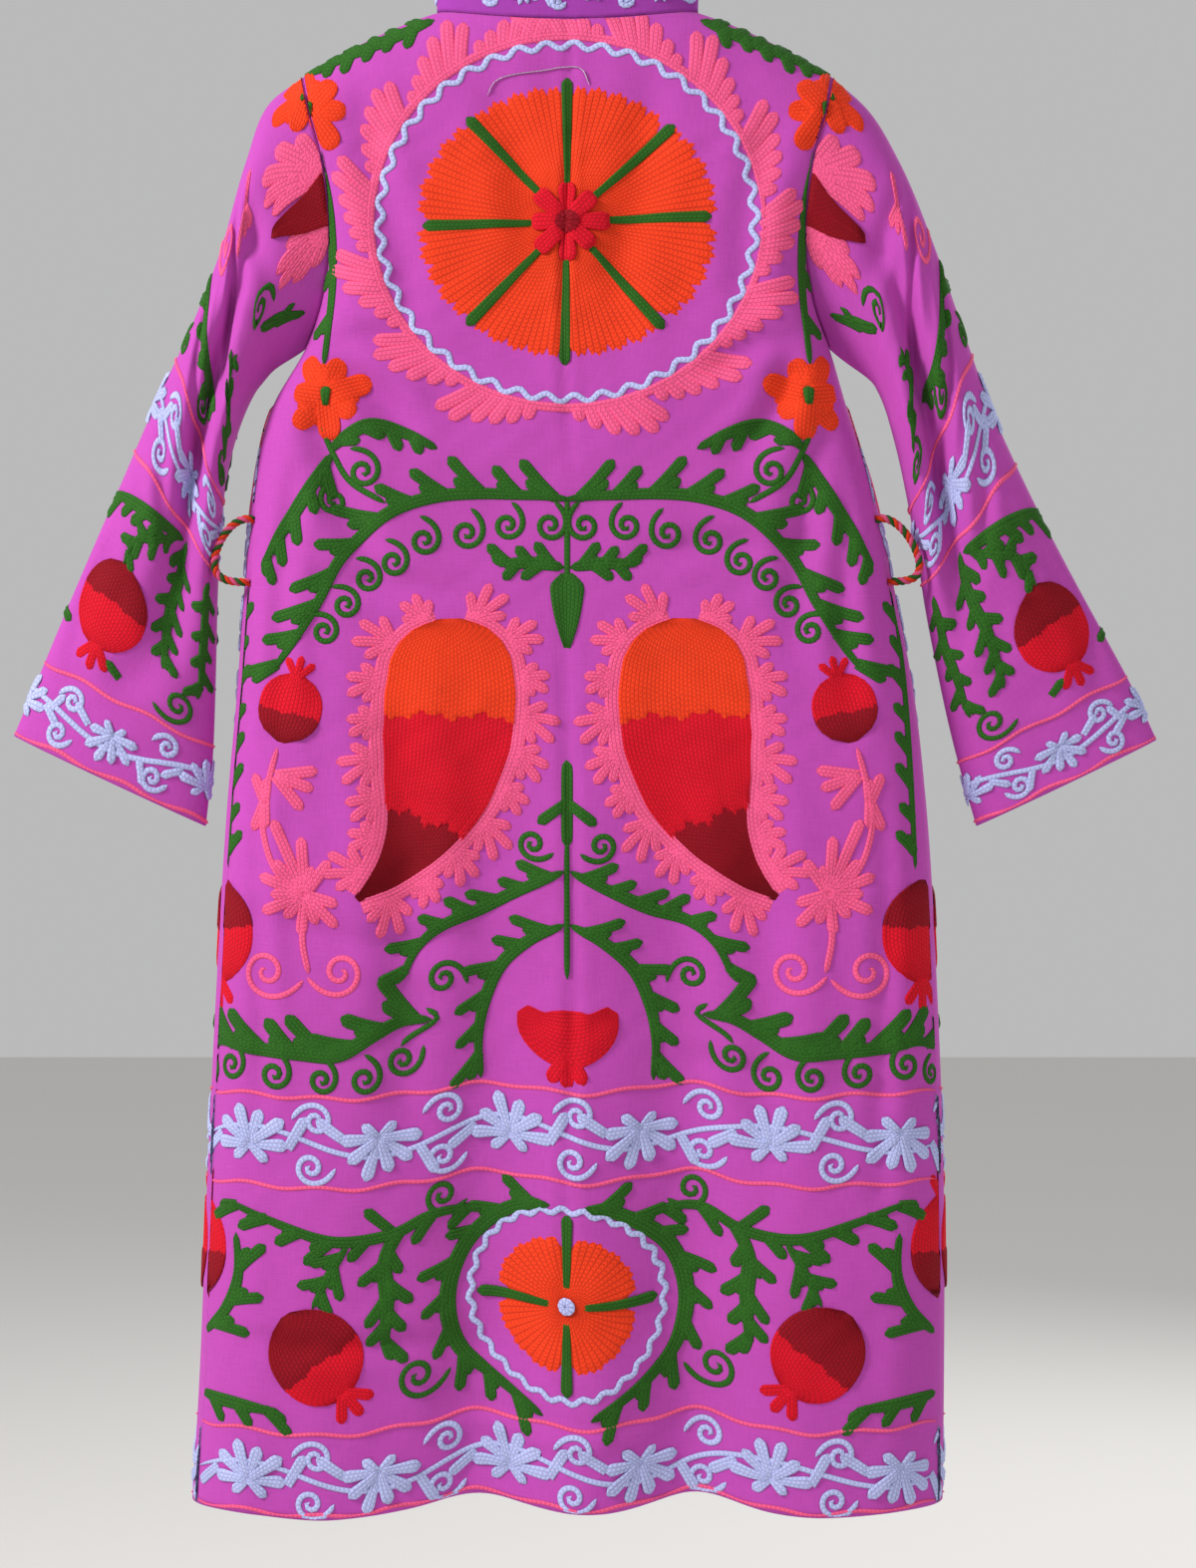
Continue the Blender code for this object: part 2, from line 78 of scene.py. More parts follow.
# Creases
CREASE_GAIN = 1.3  # deepens every crease
CREASE_LIP = 0.3  # height of a crease's lips, as a share of its depth
CREASE_WANDER = 0.004  # how far a crease strays from a straight line
BROAD_WAVE = 0.0009  # the cloth's own unevenness, over some 100 mm
SMALL_WAVE = 0.00045  # and over some 30 mm


class BodySection(NamedTuple):
    """The body's outline and depth at one drop."""

    drop: float
    half_width: float
    sway: float
    half_depth: float
    corner_deg: float


BODY = [
    BodySection(0.049, 0.202, 0.000, 0.033, 12),
    BodySection(0.085, 0.195, 0.000, 0.034, 22),
    BodySection(0.120, 0.186, 0.000, 0.035, 30),
    BodySection(0.155, 0.181, 0.000, 0.036, 40),
    BodySection(0.190, 0.181, 0.000, 0.036, 54),
    BodySection(0.225, 0.188, 0.000, 0.036, 74),
    BodySection(0.256, 0.200, 0.000, 0.037, 90),
    BodySection(0.300, 0.219, -0.006, 0.038, 90),
    BodySection(0.370, 0.238, -0.003, 0.040, 90),
    BodySection(0.450, 0.250, 0.002, 0.042, 90),
    BodySection(0.520, 0.259, 0.006, 0.044, 90),
    BodySection(0.600, 0.267, 0.007, 0.046, 90),
    BodySection(0.750, 0.276, 0.007, 0.048, 90),
    BodySection(0.900, 0.282, 0.006, 0.050, 90),
    BodySection(1.050, 0.285, 0.003, 0.052, 90),
    BodySection(1.135, 0.287, 0.000, 0.053, 90),
]


class Fold(NamedTuple):
    """A soft upright fold in the body. A negative depth stands out instead."""

    x_top: float
    x_hem: float
    half_width: float
    depth: float
    starts: float
    lift: float


BACK_FOLDS = [
    Fold(-0.045, -0.067, 0.040, 0.017, 0.30, 0.010),
    Fold(0.070, 0.098, 0.038, 0.017, 0.34, 0.011),
    Fold(0.010, 0.014, 0.034, -0.008, 0.50, -0.002),
    Fold(-0.150, -0.185, 0.050, -0.008, 0.25, -0.006),
    Fold(0.150, 0.190, 0.052, -0.008, 0.25, -0.004),
]
FRONT_FOLDS = [
    Fold(-0.080, -0.105, 0.040, 0.015, 0.30, 0.008),
    Fold(0.085, 0.115, 0.042, 0.016, 0.30, 0.009),
    Fold(-0.165, -0.195, 0.045, -0.008, 0.25, -0.004),
    Fold(0.160, 0.200, 0.045, -0.007, 0.25, -0.004),
    Fold(0.000, 0.000, 0.030, -0.005, 0.50, -0.003),
]


class SleeveSection(NamedTuple):
    """One flat section of a sleeve, from its overarm edge to its underarm edge."""

    run: float
    over_x: float
    over_drop: float
    under_x: float
    under_drop: float
    half_depth: float


LEFT_SLEEVE = [
    SleeveSection(0.00, 0.2025, 0.049, 0.2010, 0.256, 0.034),
    SleeveSection(0.07, 0.229, 0.070, 0.222, 0.266, 0.036),
    SleeveSection(0.16, 0.246, 0.114, 0.238, 0.288, 0.037),
    SleeveSection(0.28, 0.266, 0.184, 0.253, 0.322, 0.037),
    SleeveSection(0.39, 0.290, 0.245, 0.262, 0.360, 0.036),
    SleeveSection(0.49, 0.314, 0.296, 0.266, 0.402, 0.034),
    SleeveSection(0.60, 0.340, 0.356, 0.268, 0.446, 0.032),
    SleeveSection(0.71, 0.364, 0.411, 0.269, 0.490, 0.029),
    SleeveSection(0.81, 0.385, 0.460, 0.270, 0.530, 0.026),
    SleeveSection(0.91, 0.405, 0.508, 0.272, 0.574, 0.023),
    SleeveSection(1.00, 0.424, 0.553, 0.277, 0.622, 0.020),
]
RIGHT_SLEEVE = [
    SleeveSection(0.00, 0.2025, 0.049, 0.2010, 0.256, 0.034),
    SleeveSection(0.07, 0.230, 0.074, 0.223, 0.267, 0.036),
    SleeveSection(0.16, 0.254, 0.114, 0.238, 0.290, 0.037),
    SleeveSection(0.28, 0.279, 0.174, 0.250, 0.326, 0.037),
    SleeveSection(0.39, 0.301, 0.237, 0.259, 0.366, 0.036),
    SleeveSection(0.49, 0.324, 0.302, 0.267, 0.410, 0.034),
    SleeveSection(0.60, 0.354, 0.368, 0.274, 0.456, 0.032),
    SleeveSection(0.71, 0.386, 0.430, 0.283, 0.503, 0.029),
    SleeveSection(0.81, 0.411, 0.476, 0.292, 0.545, 0.026),
    SleeveSection(0.91, 0.433, 0.517, 0.302, 0.584, 0.023),
    SleeveSection(1.00, 0.451, 0.556, 0.313, 0.622, 0.020),
]


class SleeveFold(NamedTuple):
    """A fold along a sleeve. Angles are round the section from the overarm: up to 180 is the back."""

    starts: float
    ends: float
    start_deg: float
    end_deg: float
    half_width_deg: float
    depth: float


LEFT_SLEEVE_FOLDS = [
    SleeveFold(0.05, 0.80, 76, 116, 15, 0.021),
    SleeveFold(0.10, 0.72, 128, 146, 16, -0.007),
    SleeveFold(0.08, 0.80, 282, 258, 17, 0.019),
]
RIGHT_SLEEVE_FOLDS = [
    SleeveFold(0.04, 0.72, 84, 122, 15, 0.021),
    SleeveFold(0.08, 0.66, 132, 148, 16, -0.007),
    SleeveFold(0.08, 0.80, 280, 256, 17, 0.019),
]


class Crease(NamedTuple):
    """A soft crease between two places on the cloth, in mm. A negative depth is a ridge."""

    x: float
    drop: float
    x_end: float
    drop_end: float
    half_width: float
    depth: float


BODY_CREASES = [
    Crease(-175, 262, -120, 330, 11, 4.6),
    Crease(-196, 290, -150, 420, 13, 4.2),
    Crease(-186, 250, -90, 268, 9, 2.6),
    Crease(178, 262, 130, 345, 11, 4.6),
    Crease(200, 300, 168, 470, 13, 4.6),
    Crease(188, 248, 100, 276, 9, 2.8),
    Crease(205, 320, 215, 520, 10, 3.6),
    Crease(-208, 350, -222, 560, 10, 3.6),
    Crease(-60, 60, -20, 190, 14, 2.6),
    Crease(60, 70, 40, 230, 15, 2.6),
    Crease(-150, 80, -120, 240, 12, 2.6),
    Crease(150, 90, 128, 230, 12, 2.4),
    Crease(-2, 30, 2, 330, 4, 1.7),
    Crease(2, 480, -1, 980, 5, 2.0),
    Crease(-130, 500, -120, 860, 18, 4.0),
    Crease(140, 560, 150, 900, 18, 3.8),
    Crease(-232, 560, -236, 840, 9, 2.6),
    Crease(236, 600, 240, 900, 9, 2.6),
    Crease(-90, 1085, 60, 1078, 7, -2.0),
    Crease(-250, 1000, -60, 1020, 9, 2.2),
    Crease(90, 800, 250, 822, 9, 2.2),
    Crease(-240, 690, -70, 715, 11, 2.4),
    Crease(60, 420, 190, 400, 10, 2.2),
    Crease(-200, 430, -80, 452, 10, 2.2),
]
SLEEVE_CREASES = [
    Crease(40, 90, 120, 150, 8, 4.6),
    Crease(30, 150, 110, 225, 8, 4.4),
    Crease(35, 230, 95, 300, 9, 3.4),
    Crease(110, 40, 60, 84, 9, 3.6),
    Crease(-40, 110, -110, 190, 9, 4.2),
    Crease(-30, 240, -100, 330, 9, 3.4),
    Crease(-110, 44, -60, 90, 9, 3.4),
    Crease(90, 330, 60, 430, 10, 3.2),
    Crease(30, 320, 34, 440, 9, 2.4),
    Crease(-80, 350, -60, 450, 10, 3.0),
]


def column(table: Sequence[NamedTuple], name: str) -> np.ndarray:
    """One named column of a table, as an array."""
    return np.array([getattr(row, name) for row in table])


def smooth_through(x: np.ndarray, xs: np.ndarray, ys: np.ndarray) -> np.ndarray:
    """A smooth curve through a short table, read at x.

    Args:
        x: where to read it.
        xs: the table's places, rising.
        ys: its values.

    Returns:
        One value for each x.
    """
    slopes = np.gradient(ys, xs)
    x = np.clip(x, xs[0], xs[-1])
    i = np.clip(np.searchsorted(xs, x, side="right") - 1, 0, len(xs) - 2)
    step = xs[i + 1] - xs[i]
    t = (x - xs[i]) / step
    start = (1 + 2 * t) * (1 - t) ** 2 * ys[i] + t * (1 - t) ** 2 * step * slopes[i]
    end = t * t * (3 - 2 * t) * ys[i + 1] + t * t * (t - 1) * step * slopes[i + 1]
    return start + end


def ease(value: np.ndarray, start: float, end: float) -> np.ndarray:
    """0 up to start, 1 from end, and smooth between."""
    t = np.clip((value - start) / (end - start), 0, 1)
    return t * t * (3 - 2 * t)


def unit(vectors: np.ndarray) -> np.ndarray:
    """Vectors scaled to length 1."""
    return vectors / np.maximum(np.linalg.norm(vectors, axis=-1, keepdims=True), 1e-12)


def body_value(name: str, drop: np.ndarray) -> np.ndarray:
    """A column of the body's table, read at a drop."""
    return smooth_through(drop, column(BODY, "drop"), column(BODY, name))


def corner_turn(drop: np.ndarray) -> np.ndarray:
    """How far the side turns at this drop, in radians."""
    return np.radians(np.minimum(body_value("corner_deg", drop), 90))


def shoulder_drop(x: np.ndarray) -> np.ndarray:
    """The shoulder line below the neck points."""
    return SHOULDER_CURVE * (x**2 - NECK_HALF_WIDTH**2)


def contour_fade(level: np.ndarray) -> np.ndarray:
    """How much of the shoulder's line a row still follows."""
    return np.clip(1 - level / CONTOUR_FADE, 0, 1) ** 2


def fold_sum(folds: Sequence[Fold], x: np.ndarray, drop: np.ndarray, what: str) -> np.ndarray:
    """The folds' inward depth, or their lift at the hem, at each point.

    Args:
        folds: the folds to add up.
        x: places across, in metres.
        drop: places down, in metres.
        what: the fold's field that is summed.

    Returns:
        The sum at each place.
    """
    total = np.zeros(np.broadcast(x, drop).shape)
    for fold in folds:
        share = np.clip((drop - fold.starts) / (LENGTH - fold.starts), 0, 1)
        middle = fold.x_top + (fold.x_hem - fold.x_top) * share
        amount = getattr(fold, what) * ease(share, 0, 1)
        total = total + amount * np.exp(-(((x - middle) / fold.half_width) ** 2))
    return total


def crease_sum(creases: Sequence[Crease], x: np.ndarray, drop: np.ndarray) -> np.ndarray:
    """The creases' inward depth at each point, with a fine unevenness of the cloth.

    Args:
        creases: the creases to add up.
        x: places across, in metres.
        drop: places down, in metres.

    Returns:
        The sum at each place.
    """
    total = BROAD_WAVE * np.sin(x * 47 + 2.1 * np.sin(drop * 19)) * np.sin(drop * 31 + 1.7 * np.sin(x * 23))
    total = total + SMALL_WAVE * np.sin(x * 131 + 3 * np.sin(drop * 57)) * np.sin(drop * 97 + x * 40)
    for crease in creases:
        start = np.array([crease.x, crease.drop]) * MM
        span = np.array([crease.x_end, crease.drop_end]) * MM - start
        length = np.hypot(*span)
        along = ((x - start[0]) * span[0] + (drop - start[1]) * span[1]) / length**2
        aside = ((x - start[0]) * span[1] - (drop - start[1]) * span[0]) / length
        aside = aside + CREASE_WANDER * np.sin(along * 5 + crease.x)
        ends = ease(along, -0.25, 0.3) * (1 - ease(along, 0.7, 1.25))
        aside = aside / (crease.half_width * MM)
        lips = CREASE_LIP * np.exp(-1.4 * (np.abs(aside) - 1.9) ** 2)
        total = total + CREASE_GAIN * crease.depth * MM * ends * (np.exp(-(aside**2)) - lips)
    return total


class Surface:
    """Cloth that patterns are sewn to. Patterns use two coordinates in metres, across it and down it."""

    def at(self, across: np.ndarray, down: np.ndarray) -> np.ndarray:
        """Points on the outside of the cloth."""
        raise NotImplementedError

    def outward(self, across: np.ndarray, down: np.ndarray) -> np.ndarray:
        """Unit normals of the outside."""
        raise NotImplementedError

    def limits(self, across: np.ndarray, down: np.ndarray) -> tuple[np.ndarray, np.ndarray]:
        """Pattern coordinates held inside the piece's edges."""
        return across, down


@dataclass
class BodySurface(Surface):
    """The back, or one front. Across is the distance round the body from the middle, positive at +X."""

    is_back: bool
    side: int = 0
    margin: float = 0.0012  # patterns keep this far from the edges
    widest: float = 0.215  # no edge above the armhole is further across
    guesses: int = 6  # each gets nearer to the row that passes through a place

    def place(self, along: np.ndarray, side: np.ndarray, level: np.ndarray) -> np.ndarray:
        """Points on the outside, for a distance from the middle and a row.

        Args:
            along: distance round the body from the middle.
            side: -1 or 1.
            level: the row's drop once rows are level.

        Returns:
            Points in space.
        """
        radius, flat, _ = self.turn_of(level)
        turn = np.maximum(along - flat, 0) / radius
        x = np.minimum(along, flat) + radius * np.sin(turn)
        drop = level + self.top_drop(x) * contour_fade(level)
        round_over = np.clip((drop - shoulder_drop(x)) / SHOULDER_ROUNDING, 0, 1)
        depth = body_value("half_depth", drop) * np.sqrt(1 - (1 - round_over) ** 2)
        folds = BACK_FOLDS if self.is_back else FRONT_FOLDS
        world_x = side * x + body_value("sway", drop)
        fades = 1 - ease(turn, 0, SEAM_TURN)
        depth = depth - fold_sum(folds, world_x, drop, "depth") * fades
        creases = crease_sum(BODY_CREASES, world_x if self.is_back else -world_x, drop)
        depth = depth - creases * fades * ease(round_over, 0, 0.7)
        lift = fold_sum(folds, world_x, drop, "lift") * fades
        y = depth * np.cos(turn) + SEAM_GAP / 2
        return np.stack([world_x, -y if self.is_back else y, NECK_POINT_Z - drop + lift], axis=-1)

    def turn_of(self, level: np.ndarray) -> tuple[np.ndarray, np.ndarray, np.ndarray]:
        """The side's radius, where the flat part ends, and how far round the piece reaches.

        Args:
            level: drops below the neck point.

        Returns:
            The three, one value each for a level.
        """
        edge_drop = level + shoulder_drop(BODY[0].half_width) * contour_fade(level)
        radius = body_value("half_depth", edge_drop)
        corner = corner_turn(edge_drop)
        flat = body_value("half_width", edge_drop) - radius * np.sin(corner)
        shift = (math.pi / 2 - SEAM_TURN) * ease(edge_drop, ARMPIT, ARMPIT + SEAM_SHIFT)
        turn = corner - shift if self.is_back else corner + shift
        return radius, flat, flat + radius * turn - SEAM_GAP / 2

    def top_drop(self, x: np.ndarray) -> np.ndarray:
        """The piece's upper edge: the neck's curve, then the shoulder line.

        Args:
            x: places across, from the middle.

        Returns:
            The edge's drop at each place.
        """
        neck_drop = BACK_NECK_DROP if self.is_back else FRONT_NECK_DROP
        in_neck = neck_drop * (1 - (x / NECK_HALF_WIDTH) ** 2)
        return np.where(x < NECK_HALF_WIDTH, in_neck, shoulder_drop(x))

    def limits(self, across: np.ndarray, down: np.ndarray) -> tuple[np.ndarray, np.ndarray]:
        """Pattern coordinates as a signed distance from the piece's own middle, and a row.

        Args:
            across: places across, in metres of the pattern.
            down: places down, in metres of the pattern.

        Returns:
            Both, held inside the piece's edges.
        """
        if self.is_back:
            local = across - body_value("sway", down)
            side = np.where(local < 0, -1.0, 1.0)
            along = np.abs(local)
        else:
            side = np.full(np.shape(across), float(self.side))
            along = np.maximum(across * self.side, FRONT_EDGE + self.margin)
        top = self.top_drop(np.minimum(along, self.widest))
        level = down
        for _ in range(self.guesses):
            level = np.clip(down - top * contour_fade(level), 0, LENGTH)
        level = np.clip(level, self.margin, LENGTH - self.margin)
        along = np.minimum(along, self.turn_of(level)[2] - self.margin)
        return side * along, level

    def at(self, across: np.ndarray, down: np.ndarray) -> np.ndarray:
        """Points on the outside, for what limits gives."""
        side = np.where(across < 0, -1.0, 1.0)
        return self.place(np.abs(across), side, down)

    def outward(self, across: np.ndarray, down: np.ndarray) -> np.ndarray:
        """Unit normals of the outside, from small steps on it.

        Args:
            across: the first of what limits gives.
            down: the second of it.

        Returns:
            One direction of length 1 a place.
        """
        tiny = 0.0008  # metres
        side = np.where(across < 0, -1.0, 1.0)
        along = np.abs(across)
        right = self.place(along + tiny, side, down) - self.place(np.maximum(along - tiny, 0), side, down)
        below = self.place(along, side, down + tiny) - self.place(along, side, np.maximum(down - tiny, 0))
        normal = unit(np.cross(below, right * side[..., None]))
        return normal if self.is_back else -normal


def table_lookup(table: np.ndarray, row: np.ndarray, col: np.ndarray) -> np.ndarray:
    """A grid's value between its rows and columns, by linear blending.

    Args:
        table: values on a grid.
        row: rows, with their fractions.
        col: columns, with their fractions.

    Returns:
        The blended values.
    """
    row = np.clip(row, 0, table.shape[0] - 1.000001)
    col = np.clip(col, 0, table.shape[1] - 1.000001)
    i, j = row.astype(int), col.astype(int)
    a, b = row - i, col - j
    if table.ndim == 3:
        a, b = a[..., None], b[..., None]
    top = table[i, j] * (1 - b) + table[i, j + 1] * b
    low = table[i + 1, j] * (1 - b) + table[i + 1, j + 1] * b
    return top * (1 - a) + low * a


@dataclass
class SleeveSurface(Surface):
    """A sleeve. Across is the distance round it from the overarm, positive on the back. Down is along it."""

    sections: Sequence[SleeveSection]
    folds: Sequence[SleeveFold]
    side: int
    runs: int = 121
    turns: int = 171
    margin: float = 0.0012  # patterns keep this far from the edges
    guesses: int = 30  # each gets nearer to the armhole's row at a drop
    grid: np.ndarray = field(init=False)
    arcs: np.ndarray = field(init=False)

    def __post_init__(self) -> None:
        """Builds the grid of points that all else reads."""
        run = np.linspace(0, 1, self.runs)
        angle = np.linspace(-math.pi, math.pi, self.turns)
        self.grid = self.raw(run, angle)
        steps = np.linalg.norm(np.diff(self.grid, axis=1), axis=-1)
        arc = np.concatenate([np.zeros((self.runs, 1)), np.cumsum(steps, axis=1)], axis=1)
        self.arcs = arc - arc[:, self.turns // 2][:, None]

    def raw(self, run: np.ndarray, angle: np.ndarray) -> np.ndarray:
        """Points for each run and angle, folds included.

        Args:
            run: places along the sleeve.
            angle: places round it.

        Returns:
            A grid of points.
        """
        value = {n: smooth_through(run, column(self.sections, "run"), column(self.sections, n))[:, None]
                 for n in SleeveSection._fields}
        zero = 0 * run[:, None]
        over = np.stack([self.side * value["over_x"], zero, NECK_POINT_Z - value["over_drop"]], axis=-1)
        under = np.stack([self.side * value["under_x"], zero, NECK_POINT_Z - value["under_drop"]], axis=-1)
        turned = np.mod(angle, TAU)[None, :]
        depth = value["half_depth"] * np.abs(np.sin(turned))
        for fold in self.folds:
            share = ((run - fold.starts) / (fold.ends - fold.starts))[:, None]
            held = np.clip(share, 0, 1)
            strength = np.where((share > 0) & (share < 1), np.sin(math.pi * held) ** 0.8, 0)
            at = np.radians(fold.start_deg + (fold.end_deg - fold.start_deg) * held)
            width = math.radians(fold.half_width_deg)
            depth = depth - fold.depth * strength * np.exp(-(((turned - at) / width) ** 2))
        half = value["half_depth"] * 3
        creases = crease_sum(SLEEVE_CREASES, half * angle[None, :] * 0.55, run[:, None] * SLEEVE_LENGTH)
        depth = depth - creases * np.abs(np.sin(turned)) * ease(run, 0.02, 0.12)[:, None]
        points = (over + under) / 2 + (over - under) / 2 * np.cos(angle)[None, :, None]
        points[..., 1] = -depth * np.sign(np.sin(angle))[None, :]
        points[:, np.abs(np.sin(angle)) < 1e-9, 1] = 0
        edge = self.armhole(angle)
        blend = ease(run, 0, SLEEVE_BLEND)[:, None, None]
        middle = self.turns // 2
        travel = points[:, middle : middle + 1] - points[:1, middle : middle + 1]
        return (edge[None] + travel) * (1 - blend) + points * blend

    def armhole(self, angle: np.ndarray) -> np.ndarray:
        """The armhole's edge, for angles round the sleeve.

        Args:
            angle: places round the sleeve.

        Returns:
            One point an angle.
        """
        start = shoulder_drop(BODY[0].half_width)
        end = ARMPIT + start * contour_fade(ARMPIT)
        drop = start + (end - start) * (1 - np.cos(angle)) / 2
        level = drop
        for _ in range(self.guesses):
            level = np.clip(drop - start * contour_fade(level), 0, ARMPIT)
        points = []
        for is_back in (True, False):
            surface = BodySurface(is_back, self.side)
            reach = surface.turn_of(level)[2]
            points.append(surface.place(reach, np.full(level.shape, float(self.side)), level))
        edge = np.where((angle > 0)[:, None], points[0], points[1])
        edge[:, 0] += self.side * SEAM_GAP
        return edge

    def limits(self, across: np.ndarray, down: np.ndarray) -> tuple[np.ndarray, np.ndarray]:
        """Pattern coordinates as a column of the grid and a row of it.

        Args:
            across: places across, in metres of the pattern.
            down: places down, in metres of the pattern.

        Returns:
            Both, held inside the sleeve's edges.
        """
        row = np.clip(down, self.margin, SLEEVE_LENGTH - self.margin) / SLEEVE_LENGTH * (self.runs - 1)
        flat_row, flat_across = np.ravel(row), np.ravel(across)
        near = np.round(flat_row).astype(int)
        col = np.empty(flat_row.shape)
        for i in np.unique(near):
            use = near == i
            col[use] = np.interp(flat_across[use], self.arcs[i], np.arange(self.turns))
        return col.reshape(np.shape(across)), row

    def at(self, across: np.ndarray, down: np.ndarray) -> np.ndarray:
        """Points on the outside, for what limits gives."""
        return table_lookup(self.grid, down, across)

    def outward(self, across: np.ndarray, down: np.ndarray) -> np.ndarray:
        """Unit normals of the outside.

        Args:
            across: the first of what limits gives.
            down: the second of it.

        Returns:
            One direction of length 1 a place.
        """
        step = 0.8  # of a grid cell
        around = self.at(across + step, down) - self.at(across - step, down)
        along = self.at(across, down + step) - self.at(across, down - step)
        return unit(np.cross(around, along)) * self.side


@dataclass
class CollarSurface(Surface):
    """The standing collar. Across is along the neck seam from the back's middle. Down is below its top."""

    height: float = 0.036
    flare: float = 0.003
    margin: float = 0.001
    seam: np.ndarray = field(init=False)
    out: np.ndarray = field(init=False)
    along: np.ndarray = field(init=False)

    def __post_init__(self) -> None:
        """Follows the neck's edge from one front edge round the back to the other."""
        t = np.linspace(0, 1, 60)
        across = NECK_HALF_WIDTH * (1 - (1 - t) ** 2)
        zero = np.zeros(t.shape)
        back = BodySurface(True).place(across, zero + 1, zero)
        front = BodySurface(False, 1).place(np.maximum(across, FRONT_EDGE), zero + 1, zero)
        half = np.concatenate([back[:-1], front[::-1]])
        mirror = half * np.array([-1, 1, 1])
        self.seam = np.concatenate([mirror[:0:-1], half])
        steps = np.linalg.norm(np.diff(self.seam, axis=0), axis=1)
        arc = np.concatenate([[0], np.cumsum(steps)])
        self.along = arc - arc[-1] / 2
        slope = unit(np.gradient(self.seam, self.along, axis=0))
        self.out = unit(np.stack([-slope[:, 1], slope[:, 0], 0 * slope[:, 0]], axis=-1))
        self.out *= -np.sign(self.out[len(self.out) // 2, 1])

    def limits(self, across: np.ndarray, down: np.ndarray) -> tuple[np.ndarray, np.ndarray]:
        """Pattern coordinates held inside the collar."""
        reach = self.along[-1] - self.margin
        return np.clip(across, -reach, reach), np.clip(down, self.margin, self.height - self.margin)

    def at(self, across: np.ndarray, down: np.ndarray) -> np.ndarray:
        """Points on the outside.

        Args:
            across: the first of what limits gives.
            down: the second of it.

        Returns:
            One point a place.
        """
        share = 1 - down / self.height
        base = np.stack([np.interp(across, self.along, self.seam[:, i]) for i in range(3)], axis=-1)
        rise = np.stack([0 * share, 0 * share, 0.0004 + share * self.height], axis=-1)
        return base + rise + self.outward(across, down) * (self.flare * share**2)[..., None]

    def outward(self, across: np.ndarray, down: np.ndarray) -> np.ndarray:
        """Unit normals of the outside."""
        return unit(np.stack([np.interp(across, self.along, self.out[:, i]) for i in range(3)], axis=-1))


class Thread(Enum):
    """The embroidery's thread colours, as sRGB hex."""

    ORANGE = "F8401A"
    RED = "DD0A26"
    DARK_RED = "94041A"
    PINK = "FC5F92"
    GREEN = "2C641A"
    BLUE = "BEC4F4"
    PALE = "E6DDEB"


@dataclass
class Patch:
    """Rows of stitches, as a grid of pattern points with their heights and row and stitch numbers."""

    points: np.ndarray
    heights: np.ndarray
    uv: np.ndarray


def smooth_line(points: Sequence[tuple[float, float]], step: float = STEP) -> np.ndarray:
    """A smooth line through a few points in mm, with points this far apart.

    Args:
        points: places in pattern coordinates, in mm.
        step: distance between the points given back, in metres.

    Returns:
        Pattern points in metres.
    """
    knots = np.array(points, float) * MM
    if len(knots) == 2:
        dense = np.linspace(knots[0], knots[1], 40)
    else:
        knots = np.concatenate([[2 * knots[0] - knots[1]], knots, [2 * knots[-1] - knots[-2]]])
        pieces = []
        t = np.linspace(0, 1, 16, endpoint=False)[:, None]
        for a, b, c, d in zip(knots, knots[1:], knots[2:], knots[3:]):
            pieces.append(0.5 * (2 * b + (c - a) * t + (2 * a - 5 * b + 4 * c - d) * t**2
                                 + (3 * b - a - 3 * c + d) * t**3))
        dense = np.concatenate(pieces + [knots[-2][None]])
    return resample(dense, step)


def resample(dense: np.ndarray, step: float) -> np.ndarray:
    """The same line with evenly spaced points.

    Args:
        dense: a line of close points.
        step: the wanted distance between points.

    Returns:
        The new line.
    """
    arc = np.concatenate([[0], np.cumsum(np.linalg.norm(np.diff(dense, axis=0), axis=1))])
    count = max(4, int(round(arc[-1] / step)) + 1)
    at = np.linspace(0, arc[-1], count)
    return np.stack([np.interp(at, arc, dense[:, i]) for i in (0, 1)], axis=-1)


def line_normals(line: np.ndarray) -> np.ndarray:
    """Unit normals beside a line in pattern coordinates."""
    slope = unit(np.gradient(line, axis=0))
    return np.stack([-slope[:, 1], slope[:, 0]], axis=-1)


def row_heights(count: int, layer: int) -> tuple[np.ndarray, np.ndarray]:
    """Across this many rows: places from -1 to 1, and heights with a groove between rows.

    Args:
        count: how many rows of stitches lie side by side.
        layer: how many layers of thread lie under them.

    Returns:
        The places and the heights.
    """
    across = np.linspace(-1, 1, 2 * count + 1)
    heights = np.where(np.arange(2 * count + 1) % 2, 1.0, GROOVE_HEIGHT)
    heights[[0, -1]] = EDGE_HEIGHT
    return across, heights * RISE + layer * LAYER


def strip(line: np.ndarray, half: np.ndarray, layer: int = 0, ragged: float = 0.0) -> Patch:
    """Rows of stitches along a line, filling a width on both sides of it.

    Args:
        line: pattern points in metres.
        half: half the width at each point, in metres.
        layer: what it lies over.
        ragged: how far, in mm, the rows' ends step past the line's last point.

    Returns:
        The patch.
    """
    count = max(1, int(round(2 * half.max() / ROW)))
    across, heights = row_heights(count, layer)
    points = line[:, None] + line_normals(line)[:, None] * half[:, None, None] * across[None, :, None]
    if ragged:
        row = np.arange(2 * count + 1) // 3
        ends = (0.5 + 0.5 * np.sin(row * 1.9) + 0.6 * np.sin(row * 0.7)) * ragged * MM
        slope = unit(np.gradient(line, axis=0))
        share = np.linspace(0, 1, len(line)) ** 6
        points = points + slope[:, None] * share[:, None, None] * ends[None, :, None]
    run = np.concatenate([[0], np.cumsum(np.linalg.norm(np.diff(line, axis=0), axis=1))]) / STITCH
    uv = np.stack(np.broadcast_arrays((across[None] + 1) / 2 * count, run[:, None]), axis=-1)
    lift = np.broadcast_to(heights, points.shape[:2]).copy()
    lift[[0, -1]] = -LAY_DOWN
    return Patch(points, lift, uv)


